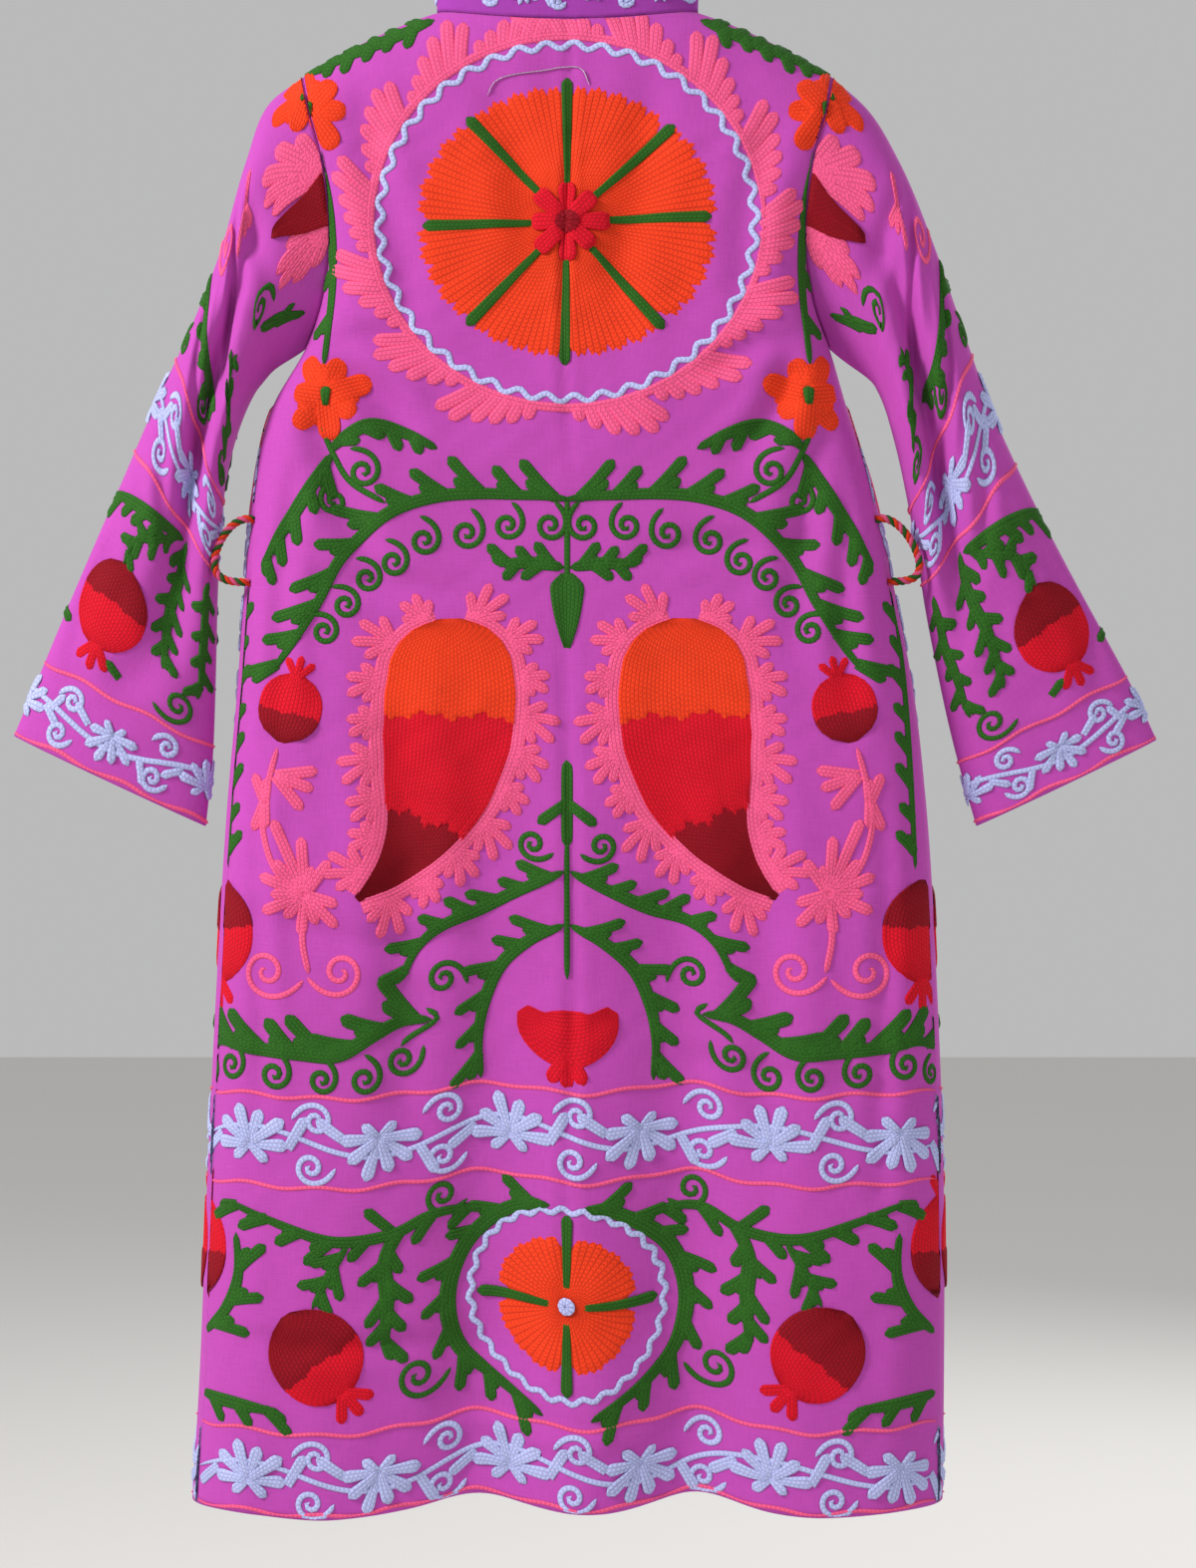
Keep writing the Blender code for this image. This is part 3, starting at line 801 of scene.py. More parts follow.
def rounded(count: int, power: float = 4) -> np.ndarray:
    """A width that is full along the middle and rounds off at both ends."""
    t = np.linspace(-1, 1, count)
    return np.sqrt(np.maximum(1 - np.abs(t) ** power, 0.02))


def stroke(points: Sequence[tuple[float, float]], width: float, layer: int = 0) -> Patch:
    """A line of stitches this wide, in mm."""
    line = smooth_line(points)
    return strip(line, width / 2 * MM * rounded(len(line), 10), layer)


def lobe(x: float, y: float, angle: float, length: float, width: float, bend: float = 0.0,
         layer: int = 0, base: float = 0.82) -> Patch:
    """A finger-shaped leaf or petal with a blunt tip.

    Args:
        x: where it starts, in mm.
        y: where it starts, in mm down.
        angle: direction in degrees, 0 towards +X and 90 up.
        length: mm.
        width: mm.
        bend: how many degrees it turns on its way.
        layer: what it lies over.
        base: its width where it starts, as a share of the widest.

    Returns:
        The patch.
    """
    count = max(6, int(length * MM / STEP) + 3)
    turned = np.radians(angle + bend * np.linspace(0, 1, count))
    steps = np.stack([np.cos(turned), -np.sin(turned)], axis=-1) * length * MM / (count - 1)
    line = np.array([x, y]) * MM + np.concatenate([[[0, 0]], np.cumsum(steps[:-1], axis=0)])
    t = np.linspace(0, 1, count)
    tip = np.clip((t - 1) * length / (0.62 * width) + 1, 0, 1)
    half = (base + (1 - base) * t) * np.sqrt(np.maximum(1 - tip**2, 0.04))
    return strip(line, width / 2 * MM * half, layer)


def spiral(x: float, y: float, radius: float, start: float, hand: int, width: float = 4.4,
           turns: float = 1.7) -> Patch:
    """A curl of one row, winding in from its outer end. Sizes in mm and degrees.

    Args:
        x: the curl's middle, across.
        y: the curl's middle, down.
        radius: from its middle to its outer end.
        start: the outer end's angle.
        hand: 1 or -1, the way it winds.
        width: the thread's width.
        turns: how often it goes round.

    Returns:
        The patch.
    """
    t = np.linspace(0, 1, 60)
    angle = np.radians(start) + hand * TAU * turns * t
    reach = radius * MM * (1 - 0.88 * t**0.9 + 0.42 * np.exp(-16 * t))
    dense = np.array([x, y]) * MM + np.stack([np.cos(angle), -np.sin(angle)], axis=-1) * reach[:, None]
    line = resample(dense, STEP * 0.75)
    return strip(line, width / 2 * MM * rounded(len(line), 12))


def fan(x: float, y: float, inner: float, outer: Callable[[np.ndarray], np.ndarray], rows: int,
        start: float = 0.0, end: float = 360.0, layer: int = 0, scallop: float = 0.03) -> Patch:
    """Rows of stitches that radiate from a centre.

    Args:
        x: the centre, in mm.
        y: the centre, in mm down.
        inner: radius where the rows start, in mm.
        outer: radius in mm for an array of angles in radians.
        rows: how many rows.
        start: first angle, in degrees.
        end: last angle, in degrees.
        layer: what it lies over.
        scallop: how much shorter the fan is between two rows, as a share of the radius.

    Returns:
        The patch.
    """
    across, heights = row_heights(rows, layer)
    if end - start >= 360:
        heights[[0, -1]] = heights[2]
    angle = np.radians(start + (across + 1) / 2 * (end - start))
    groove = np.arange(len(across)) % 2 == 0
    reach = outer(angle) * (1 - scallop * groove)
    count = max(4, int(round((reach.max() - inner) * MM / (STEP * 1.15))) + 1)
    t = np.linspace(0, 1, count)[:, None]
    radius = (inner + (reach[None] - inner) * t) * MM
    points = np.array([x, y]) * MM + np.stack([np.cos(angle) * radius, -np.sin(angle) * radius], axis=-1)
    uv = np.stack(np.broadcast_arrays((across[None] + 1) / 2 * rows, radius / STITCH), axis=-1)
    lift = np.broadcast_to(heights, radius.shape).copy()
    lift[-1] = layer * LAYER - LAY_DOWN
    return Patch(points, lift, uv)


@dataclass
class Pattern:
    """Patches of stitches, kept by thread. Positions are in mm, across and down the piece."""

    patches: dict[Thread, list[Patch]] = field(default_factory=dict)

    def add(self, thread: Thread, *patches: Patch) -> None:
        """Keeps patches of one thread."""
        self.patches.setdefault(thread, []).extend(patches)

    def mirrored(self) -> "Pattern":
        """The same pattern with left and right changed over.

        Returns:
            The mirror image.
        """
        flipped = Pattern()
        for thread, patches in self.patches.items():
            for p in patches:
                points = (p.points * np.array([-1, 1]))[:, ::-1]
                flipped.add(thread, Patch(points, p.heights[:, ::-1], p.uv[:, ::-1]))
        return flipped

    def merged(self, other: "Pattern") -> "Pattern":
        """Both patterns as one.

        Args:
            other: the pattern to lay on this one.

        Returns:
            A new pattern.
        """
        both = Pattern({thread: list(patches) for thread, patches in self.patches.items()})
        for thread, patches in other.patches.items():
            both.add(thread, *patches)
        return both

    def branch(self, thread: Thread, points: Sequence[tuple[float, float]], leaf: float, width: float,
               spacing: float, sides: Sequence[int], body: float) -> None:
        """A thick stem with finger-shaped leaves that grow out of it.

        Args:
            thread: its colour.
            points: the stem, in mm, from its root to its tip.
            leaf: length of the longest leaves, in mm.
            width: width of a leaf, in mm.
            spacing: from leaf to leaf on one side, in mm.
            sides: 1 for the stem's left and -1 for its right, as it grows.
            body: the stem's width, in mm.
        """
        line = smooth_line(points)
        t = np.linspace(0, 1, len(line))
        swell = 0.62 + 0.38 * np.sin(math.pi * np.clip(t * 1.15, 0, 1))
        self.add(thread, strip(line, body / 2 * MM * swell * rounded(len(line), 14)))
        line = smooth_line(points, MM)
        slope = unit(np.gradient(line, axis=0))
        heading = np.degrees(np.arctan2(-slope[:, 1], slope[:, 0]))
        for number, side in enumerate(sides):
            at = spacing * (0.5 + 0.45 * number)
            index = 0
            while at < len(line) - spacing * 0.3:
                i = int(at)
                size = leaf * (1 + 0.15 * math.sin(index * 2.4 + number + points[0][0]))
                turn = side * LEAF_ANGLE * (1 + 0.12 * math.sin(index * 1.7 + points[0][1]))
                x, y = line[i] / MM
                self.add(thread, lobe(x, y, heading[i] + turn, size, width, side * 10))
                self.add(thread, lobe(x, y, heading[i] + turn * 0.55, size * 0.66, width * 1.1, side * 6))
                at += spacing * (1 + 0.1 * math.sin(index * 3.1 + number))
                index += 1

    def palm(self, thread: Thread, x: float, y: float, lobes: Sequence[tuple[float, float]],
             width: float) -> None:
        """Leaves that spread from one place: an angle in degrees and a length in mm for each."""
        for angle, length in lobes:
            self.add(thread, lobe(x, y, angle, length, width, 0, 0, 0.95))

    def flower(self, x: float, y: float, radius: float, petals: int, thread: Thread, start: float = 90.0,
               spread: float = 360.0, width: float = 0.55, layer: int = 0) -> None:
        """Petals round a point, or over part of a turn.

        Args:
            x: its middle, across.
            y: its middle, down.
            radius: from its middle to a petal's tip.
            petals: how many petals it has.
            thread: their colour.
            start: the first petal's angle.
            spread: the degrees that they take up.
            width: a petal's width, as a share of its length.
            layer: how many layers lie under it.
        """
        full = spread >= 360
        step = spread / petals if full else spread / (petals - 1)
        for k in range(petals):
            angle = start + (k * step if full else k * step - spread / 2)
            size = radius * (1 + 0.1 * math.sin(k * 2.3 + x))
            self.add(thread, lobe(x, y, angle, size, radius * width, 0, layer + k % 2, 0.45))

    def blossom(self, x: float, y: float, radius: float, start: float) -> None:
        """An orange seam flower with a green seed in its middle.

        Args:
            x: its middle, across.
            y: its middle, down.
            radius: its size.
            start: the first petal's angle.
        """
        for k in range(7):
            size = radius * (1 + 0.16 * math.sin(k * 2.3 + x))
            angle = start + k * 360 / 7
            self.add(Thread.ORANGE, lobe(x, y, angle, size, radius * 0.58, 0, k % 2, 0.9))
            self.add(Thread.ORANGE, lobe(x, y, angle + 22, size * 0.72, radius * 0.4, 0, 0, 0.9))
        self.add(Thread.GREEN, lobe(x, y + 8, 90, 16, 9, 0, 3, 0.5))

    def pomegranate(self, x: float, y: float, radius: float, crown: float, dark: float = 0.48) -> None:
        """A fruit of upright rows, dark at its stem end, with a crown of three teeth.

        Args:
            x: its middle, in mm.
            y: its middle, in mm down.
            radius: half its width, in mm.
            crown: direction of its crown, in degrees.
            dark: how much of it is dark red.
        """
        way = np.array([math.cos(math.radians(crown)), -math.sin(math.radians(crown))])
        for thread, low, high, layer in ((Thread.RED, 0.22, 1.0, 0), (Thread.DARK_RED, 0.0, dark, 1)):
            t = np.linspace(low, high, max(5, int(2 * radius * MM / STEP * (high - low))))
            line = (np.array([x, y]) + way * (2 * t[:, None] - 1) * radius * 1.08) * MM
            half = radius * MM * np.maximum(1 - np.abs(2 * t - 1) ** 2.3, 0.03) ** 0.62
            self.add(thread, strip(line, half, layer, 3.0 * layer))
        cx, cy = np.array([x, y]) + way * radius * 0.9
        for turn in (-38, 0, 38):
            self.add(Thread.RED, lobe(cx, cy, crown + turn, radius * 0.72, radius * 0.27))

    def medallion(self, x: float, y: float, radius: float, squash: float, rows: int, spokes: Sequence[float],
                  notch: float, reach: float) -> None:
        """A scalloped disc of radiating rows with spokes over it.

        Args:
            x: its middle, in mm.
            y: its middle, in mm down.
            radius: half its width, in mm.
            squash: its height as a share of its width.
            rows: how many rows radiate.
            spokes: their directions, in degrees.
            notch: how far the rim dips at a spoke, as a share of the radius.
            reach: how far the spokes go, as a share of the radius.
        """
        def rim(angle: np.ndarray) -> np.ndarray:
            """The disc's edge at each angle.

            Args:
                angle: places round the disc.

            Returns:
                The distance from its middle, in mm.
            """
            sector = 1 - notch * np.abs(np.cos(angle * len(spokes) / 2)) ** 30
            scallop = 1 - 0.045 * np.abs(np.sin(angle * len(spokes) * 2.5)) ** 0.7
            flattened = 1 - (1 - squash) * np.sin(angle) ** 2
            return radius * sector * (1.975 - scallop) * flattened

        self.add(Thread.ORANGE, fan(x, y, radius * 0.10, rim, rows))
        for degrees in spokes:
            angle = math.radians(degrees)
            start = 0.22 * radius
            self.add(Thread.GREEN, lobe(x + start * math.cos(angle), y - start * math.sin(angle), degrees,
                                        (reach - 0.22) * radius, 9.5, 0, 1, 0.55))

    def ring(self, thread: Thread, x: float, y: float, across: float, down: float, waves: int, swing: float,
             width: float) -> None:
        """A wavy closed line.

        Args:
            thread: its colour.
            x: its middle, across.
            y: its middle, down.
            across: half its width.
            down: half its height.
            waves: how many waves go round it.
            swing: a wave's height, as a share of its radius.
            width: the thread's width.
        """
        angle = np.linspace(0, TAU, 16 * waves + 1)
        reach = 1 + swing * np.sin(waves * angle)
        around = np.stack([np.cos(angle) * across, -np.sin(angle) * down], axis=-1) * reach[:, None]
        line = resample((np.array([x, y]) + around) * MM, STEP * 0.8)
        self.add(thread, strip(line, np.full(len(line), width / 2 * MM)))

    def wavy(self, thread: Thread, start: float, end: float, y: float, width: float = 3.2,
             swing: float = 1.5) -> None:
        """A nearly straight line across the piece."""
        xs = np.arange(start, end, 6.0)
        self.add(thread, stroke([(x, y + swing * math.sin(x * 0.11)) for x in xs], width))

    def vine(self, start: float, end: float, y: float, swing: float, gap: float) -> None:
        """A light blue running vine: flowers up and down by turns, with two curls and two leaves between.

        Args:
            start: where it starts, in mm.
            end: where it ends, in mm.
            y: its middle line, in mm down.
            swing: half the height that it fills, in mm.
            gap: from flower to flower, in mm.
        """
        xs = np.arange(start, end + 1, gap / 6)
        wave = [y - swing * 0.34 * math.sin(math.pi * (x - start) / gap) for x in xs]
        self.add(Thread.BLUE, stroke(list(zip(xs, wave)), 4.2))
        for k in range(int((end - start) / gap) + 1):
            up = -1 if k % 2 else 1
            x = start + (k + 0.5) * gap
            base = y + up * swing * 0.12
            self.flower(x, base, swing * 0.98, 6, Thread.BLUE, 90 * up, 176, 0.38)
            self.flower(x, base, swing * 0.55, 2, Thread.BLUE, -90 * up, 100, 0.6)
            knot = start + (k + 1) * gap
            for way in (1, -1):
                lean = 0.02 * gap * way
                start_deg = 180 if way > 0 else 0
                curl = spiral(knot + lean, y - way * swing * 0.56, swing * 0.42, start_deg, -1)
                self.add(Thread.BLUE, curl)
            leaf = swing * 0.30
            self.add(Thread.BLUE, lobe(x + gap * 0.30, y + swing * 0.15, 60 * up, swing * 0.9, leaf))
            self.add(Thread.BLUE, lobe(x - gap * 0.26, y - swing * 0.1, 180 + 35 * up, swing * 0.85, leaf))


class Branch(NamedTuple):
    """A row for one leafy branch, in mm, drawn on the +X half."""

    stem: Sequence[tuple[float, float]]
    leaf: float
    width: float
    spacing: float
    sides: Sequence[int]
    body: float


class Curl(NamedTuple):
    """A row for one curl, in mm and degrees, drawn on the +X half."""

    x: float
    y: float
    radius: float
    start: float
    hand: int


GREEN, PINK = Thread.GREEN, Thread.PINK
ARCH = [(-4, 376), (17, 373), (38, 372), (68, 371), (98, 373), (128, 382), (151, 398), (173, 423), (188, 453),
        (206, 482), (224, 506)]
HALF_BRANCHES = [
    Branch(ARCH, 35, 9.5, 27, (1,), 10),
    Branch([(180, 338), (165, 326), (146, 319), (120, 326), (98, 337)], 19, 9.5, 20, (1,), 11),
    Branch([(178, 340), (191, 362), (205, 384), (220, 406), (233, 428)], 24, 9.5, 21, (-1,), 11),
    Branch([(2, 427), (23, 424), (55, 424)], 20, 9.0, 17, (1, -1), 10),
    Branch([(2, 656), (36, 673), (65, 688), (94, 698), (113, 713), (126, 738)], 25, 9.0, 22, (1,), 10),
    Branch([(2, 696), (28, 710), (50, 731), (62, 758), (67, 787), (65, 818)], 28, 9.0, 24, (1,), 10),
    Branch([(102, 768), (124, 767), (146, 776), (172, 789), (201, 789), (238, 788), (267, 784), (290, 790)],
           38, 11.5, 24, (1,), 12),
    Branch([(266, 654), (264, 598), (262, 546), (259, 486), (254, 441)], 21, 9.5, 25, (1,), 7),
    Branch([(13, 907), (40, 914), (71, 937), (86, 962), (90, 990), (82, 1020), (64, 1039), (40, 1054),
            (18, 1066)], 28, 9.5, 25, (1,), 13),
    Branch([(61, 918), (101, 916), (131, 926), (173, 928), (214, 918), (257, 904)], 24, 9.5, 26, (-1,), 9),
    Branch([(131, 926), (137, 948), (135, 975), (137, 1012)], 25, 9.5, 23, (-1, 1), 12),
    Branch([(164, 930), (178, 952), (191, 978)], 23, 8.5, 20, (1, -1), 7),
    Branch([(284, 1005), (260, 986), (248, 959), (250, 927)], 31, 9.0, 26, (1,), 10),
    Branch([(286, 1050), (252, 1054), (214, 1057)], 23, 9.0, 24, (1,), 10),
    Branch([(101, 9), (130, 22), (166, 36), (197, 50)], 16, 9.5, 17, (1, -1), 11),
    Branch([(190, 111), (183, 148), (181, 186), (182, 231), (184, 273)], 22, 9.5, 36, (1,), 9.5),
]
HALF_CURLS = [
    Curl(13, 395, 13.0, 100, 1), Curl(45, 395, 12.5, 100, 1), Curl(76, 401, 13.5, 100, 1),
    Curl(108, 406, 13.0, 80, 1), Curl(131, 422, 12.5, 70, 1), Curl(151, 434, 12.0, 60, 1),
    Curl(167, 454, 12.0, 50, 1), Curl(183, 474, 12.0, 40, 1), Curl(154, 354, 14.0, 60, 1),
    Curl(176, 376, 11.0, 90, -1), Curl(26, 637, 12.0, 200, 1), Curl(93, 738, 13.5, 200, -1),
    Curl(124, 796, 13.0, 150, 1), Curl(152, 808, 13.0, 90, 1), Curl(184, 808, 12.0, 90, 1),
    Curl(220, 806, 13.0, 90, 1), Curl(256, 801, 13.0, 90, 1), Curl(282, 808, 10.0, 90, 1),
    Curl(112, 1036, 17.0, 180, 1), Curl(94, 903, 14.0, 200, 1),
]
HALF_STROKES = [
    ([(137, 378), (163, 362), (176, 342), (187, 317)], 4.6),
    ([(106, 759), (98, 768), (119, 780), (125, 786)], 4.4),
]


@dataclass
class BodyPattern:
    """The embroidery of the back and the fronts, drawn as one half and its mirror image."""

    def half(self) -> Pattern:
        """What lies on the +X half.

        Returns:
            The pattern.
        """
        made = Pattern()
        for row in HALF_BRANCHES:
            made.branch(GREEN, *row)
        for curl in HALF_CURLS:
            made.add(GREEN, spiral(*curl))
        for points, width in HALF_STROKES:
            made.add(GREEN, stroke(points, width))
        for angle, place in ((-38, (0, 604)), (42, (131, 924)), (8, (16, 909))):
            made.add(GREEN, lobe(*place, angle, 28, 9))
        self.paisley(made)
        self.spray(made)
        made.pomegranate(209, 532, 25, 104)
        made.pomegranate(188, 1014, 35, 232, 0.6)
        made.pomegranate(274, 702, 37, 268)
        made.pomegranate(296, 940, 37, 90)
        for x, y, size, turn in ((196, 80, 32, 80), (182, 297, 32, 110)):
            made.blossom(x, y, size, turn)
        return made

    def spray(self, made: Pattern) -> None:
        """The pink spray under a small fruit, which ends in two curls.

        Args:
            made: the pattern that it is added to.
        """
        made.add(PINK, stroke([(218, 562), (224, 584), (230, 614), (224, 644), (211, 664), (196, 674)], 5))
        made.add(PINK, stroke([(197, 674), (199, 704), (194, 730)], 5))
        made.palm(PINK, 220, 583, [(172, 33), (198, 31), (230, 33)], 9)
        made.palm(PINK, 228, 603, [(66, 23), (96, 18), (-66, 24), (-92, 20)], 9)
        made.palm(PINK, 197, 671, [(126, 32), (104, 22), (86, 43), (66, 60), (46, 34), (20, 37), (-2, 26),
                                (-24, 36), (-50, 24), (-84, 31), (-112, 24), (-136, 34), (-165, 26)], 9)
        made.add(PINK, spiral(170, 728, 18, -10, -1), spiral(226, 730, 20, 190, 1))

    def paisley(self, made: Pattern) -> None:
        """A large paisley in three reds inside a pink border of leaves.

        Args:
            made: the pattern that it is added to.
        """
        knots = np.array([(88, 465), (88, 472), (88, 483), (88, 496), (88, 522), (91, 559), (99, 596),
                          (113, 628), (133, 654), (158, 674)])
        widths = np.array([7, 27, 39, 46, 50, 49.5, 42, 27.5, 14, 2.5])
        line = smooth_line([tuple(k) for k in knots])
        at = np.linspace(0, 1, len(line))
        arc = np.concatenate([[0], np.cumsum(np.linalg.norm(np.diff(knots, axis=0), axis=1))])
        half = np.interp(at, arc / arc[-1], widths) * MM
        for thread, low, high, layer in ((Thread.ORANGE, 0, 0.33, 2), (Thread.RED, 0.2, 0.68, 1),
                                         (Thread.DARK_RED, 0.55, 1, 0)):
            use = (at >= low) & (at <= high)
            made.add(thread, strip(line[use], half[use], layer, 5.0 * min(layer, 1)))
        normals = line_normals(line)
        for side in (1, -1):
            edge = resample(line + normals * (half + 0.004)[:, None] * side, STEP)
            made.add(PINK, strip(edge, np.full(len(edge), 0.006)))
            slope = unit(np.gradient(edge, axis=0))
            heading = np.degrees(np.arctan2(-slope[:, 1], slope[:, 0]))
            for k, i in enumerate(range(2, len(edge) - 1, 7)):
                x, y = edge[i] / MM
                size = 1 + 0.16 * math.sin(k * 2.1 + side)
                for turn, length in ((34, 21), (62, 28), (92, 27), (124, 20)):
                    made.add(PINK, lobe(x, y, heading[i] - side * turn, length * size, 8.6, side * 12))

    def middle(self) -> Pattern:
        """What lies across the middle line.

        Returns:
            The pattern.
        """
        made = Pattern()
        x, y = 0, 165
        made.medallion(x, y, 115, 0.90, 120, [90, 42, 2, -48, -91, -134, 182, 134], 0.06, 0.95)
        made.flower(x, y, 31, 8, Thread.RED, 90, layer=3)
        made.add(Thread.DARK_RED, fan(x, y, 1, lambda angle: 9 + 0 * angle, 12, layer=6))
        made.ring(Thread.BLUE, x, y, 142, 134, 42, 0.022, 4.6)
        self.halo(made, x, y)
        self.bud(made)
        made.add(Thread.GREEN, stroke([(0, 374), (0, 441)], 4.5), stroke([(0, 632), (0, 737)], 4.6),
                 stroke([(0, 572), (0, 638)], 9))
        self.cup(made)
        x, y = 0, 981
        made.medallion(x, y, 55, 0.97, 56, [90, 0, -90, 180], 0.24, 1.24)
        made.add(Thread.BLUE, fan(x, y, 0.5, lambda angle: 6.5 + 0 * angle, 9, layer=3))
        made.ring(Thread.BLUE, x, y, 73, 71, 28, 0.028, 4.6)
        made.add(Thread.PALE, stroke([(-61, 70), (-52, 57), (-22, 51), (8, 48), (17, 62)], 0.7))
        return made

    def bud(self, made: Pattern) -> None:
        """The hanging bud under the arch.

        Args:
            made: the pattern that it is added to.
        """
        line = smooth_line([(0, 431), (0, 460), (0, 488)])
        t = np.linspace(0, 1, len(line))
        made.add(GREEN, strip(line, 13.5 * MM * np.sqrt(np.clip(t * 6, 0.1, 1)) * (1 - 0.82 * t**2)))

    def halo(self, made: Pattern, x: float, y: float) -> None:
        """The ring of pink leaf clusters round the large medallion, each a wing of growing lobes.

        Args:
            made: the pattern that it is added to.
            x: the medallion's middle, across.
            y: its middle, down.
        """
        count = 15
        ring = [(x + 149 * math.cos(a), y - 141 * math.sin(a)) for a in np.linspace(0, TAU, 61)]
        made.add(PINK, stroke(ring, 7))
        for k in range(count):
            side = 1 if k < count / 2 else -1
            base = -90 + side * (k if side > 0 else count - k - 0.7) * 360 / count + side * 3
            for j, length in enumerate((13, 19, 26, 33, 41, 37)):
                angle = base + side * j * 3.3
                turned = math.radians(angle)
                size = length * (1 + 0.1 * math.sin(k * 1.9 + j))
                cx, cy = x + 147 * math.cos(turned), y - 139 * math.sin(turned)
                made.add(PINK, lobe(cx, cy, angle + side * (8 + 5 * j), size, 11, side * 8, 0, 0.9))

    def cup(self, made: Pattern) -> None:
        """A small red cup with two horns and a foot.

        Args:
            made: the pattern that it is added to.
        """
        line = smooth_line([(-34, 762), (-22, 776), (0, 782), (22, 776), (35, 760)])
        t = np.linspace(-1, 1, len(line))
        made.add(Thread.RED, strip(line, (4.5 + 17.5 * (1 - t**2)) * MM))
        for turn in (-120, -90, -60):
            made.add(Thread.RED, lobe(0, 792, turn, 27, 12))

    def side_strip(self, at: float) -> Pattern:
        """The pink line and light blue sprigs that run down a front's side, this far from its edge.

        Args:
            at: the line's place across, in mm.

        Returns:
            The pattern.
        """
        made = Pattern()
        made.add(PINK, stroke([(at + 1.2 * math.sin(y), y) for y in range(300, 815, 14)], 3.2))
        for k in range(9):
            y = 340 + k * 56
            made.add(Thread.BLUE, spiral(at + 13, y, 9, 200, 1))
            for turn in (60, 110, -60):
                made.add(Thread.BLUE, lobe(at + 12, y + 22, turn, 17, 6.5))
        return made

    def bands(self, start: float, end: float) -> Pattern:
        """The two light blue bands and their pink lines, over part of the way round.

        Args:
            start: where the bands begin, in mm across.
            end: where they stop.

        Returns:
            The pattern.
        """
        made = Pattern()
        for y in (822, 889, 1072, LENGTH / MM - 3):
            made.wavy(PINK, start, end, y)
        made.vine(start + 4, end - 4, 856, 31, 98)
        made.vine(start + 4, end - 4, 1106, 30, 98)
        return made


@dataclass
class SleevePattern:
    """The embroidery of a sleeve: across is round it from the overarm, down is along it."""

    band_start: float = 209
    band_end: float = 274
    cuff_start: float = 434

    def half(self) -> Pattern:
        """What lies on the sleeve's back. Its front has the mirror image.

        Returns:
            The pattern.
        """
        made = Pattern()
        end = SLEEVE_LENGTH / MM
        for y in (self.band_start, self.band_end, self.cuff_start, end - 3):
            made.wavy(PINK, -1, 260, y)
        made.vine(-44, 215, (self.band_start + self.band_end) / 2, 26, 88)
        made.vine(-40, 190, (self.cuff_start + end) / 2, 22, 80)
        made.pomegranate(46, 372, 32, -92)
        for stem, leaf, width, spacing, sides, body in (
            ([(92, 284), (60, 292), (4, 306)], 20, 8.5, 17, (1,), 10),
            ([(86, 288), (66, 304), (48, 318), (44, 340)], 17, 8, 17, (1, -1), 6),
            ([(96, 282), (98, 310), (94, 345), (100, 392)], 20, 8.5, 20, (-1, 1), 10),
            ([(132, 290), (130, 340), (134, 400)], 18, 8.5, 24, (1, -1), 9),
            ([(112, 172), (80, 176), (46, 168), (8, 150)], 22, 10, 19, (1,), 12),
            ([(164, 62), (180, 38), (194, 14)], 12, 8, 60, (1,), 9),
            ([(150, 180), (140, 140), (132, 110)], 18, 8.5, 20, (1, -1), 9),
        ):
            made.branch(GREEN, stem, leaf, width, spacing, sides, body)
        for thread, x, y, radius, start, hand in (
            (GREEN, 120, 414, 15, 200, 1), (GREEN, 16, 194, 9, 90, 1), (GREEN, 74, 193, 12, 60, -1),
            (GREEN, 150, 62, 14, 60, 1), (PINK, 34, 118, 17, 200, 1), (GREEN, 146, 190, 11, 90, 1),
        ):
            made.add(thread, spiral(x, y, radius, start, hand))
        made.add(GREEN, lobe(2, 392, 200, 18, 8), lobe(70, 418, 150, 16, 8))
        self.seam_motif(made)
        return made

    def seam_motif(self, made: Pattern) -> None:
        """Half of a pink and dark red motif against the armhole seam.

        Args:
            made: the pattern that it is added to.
        """
        made.blossom(34, -2, 32, 270)
        made.palm(PINK, 96, 0, [(-160, 40), (-142, 52), (-124, 60), (-108, 54), (-92, 44)], 13)
        made.palm(PINK, 132, 0, [(-96, 34), (-78, 44), (-60, 46), (-42, 40), (-24, 30)], 13)
        line = smooth_line([(114, -2), (115, 20), (108, 46)])
        made.add(Thread.DARK_RED, strip(line, np.linspace(22, 3, len(line)) * MM, 2))
        made.palm(PINK, 52, 78, [(140, 20), (20, 24), (-50, 26), (-10, 20)], 8)


def linear(hex_colour: str) -> tuple[float, float, float, float]:
    """An sRGB hex colour as linear values.

    Args:
        hex_colour: six hex digits.

    Returns:
        Red, green and blue, and full opacity.
    """
    values = [int(hex_colour[i : i + 2], 16) / 255 for i in (0, 2, 4)]
    low = [v / 12.92 if v <= 0.04045 else ((v + 0.055) / 1.055) ** 2.4 for v in values]
    return (low[0], low[1], low[2], 1.0)


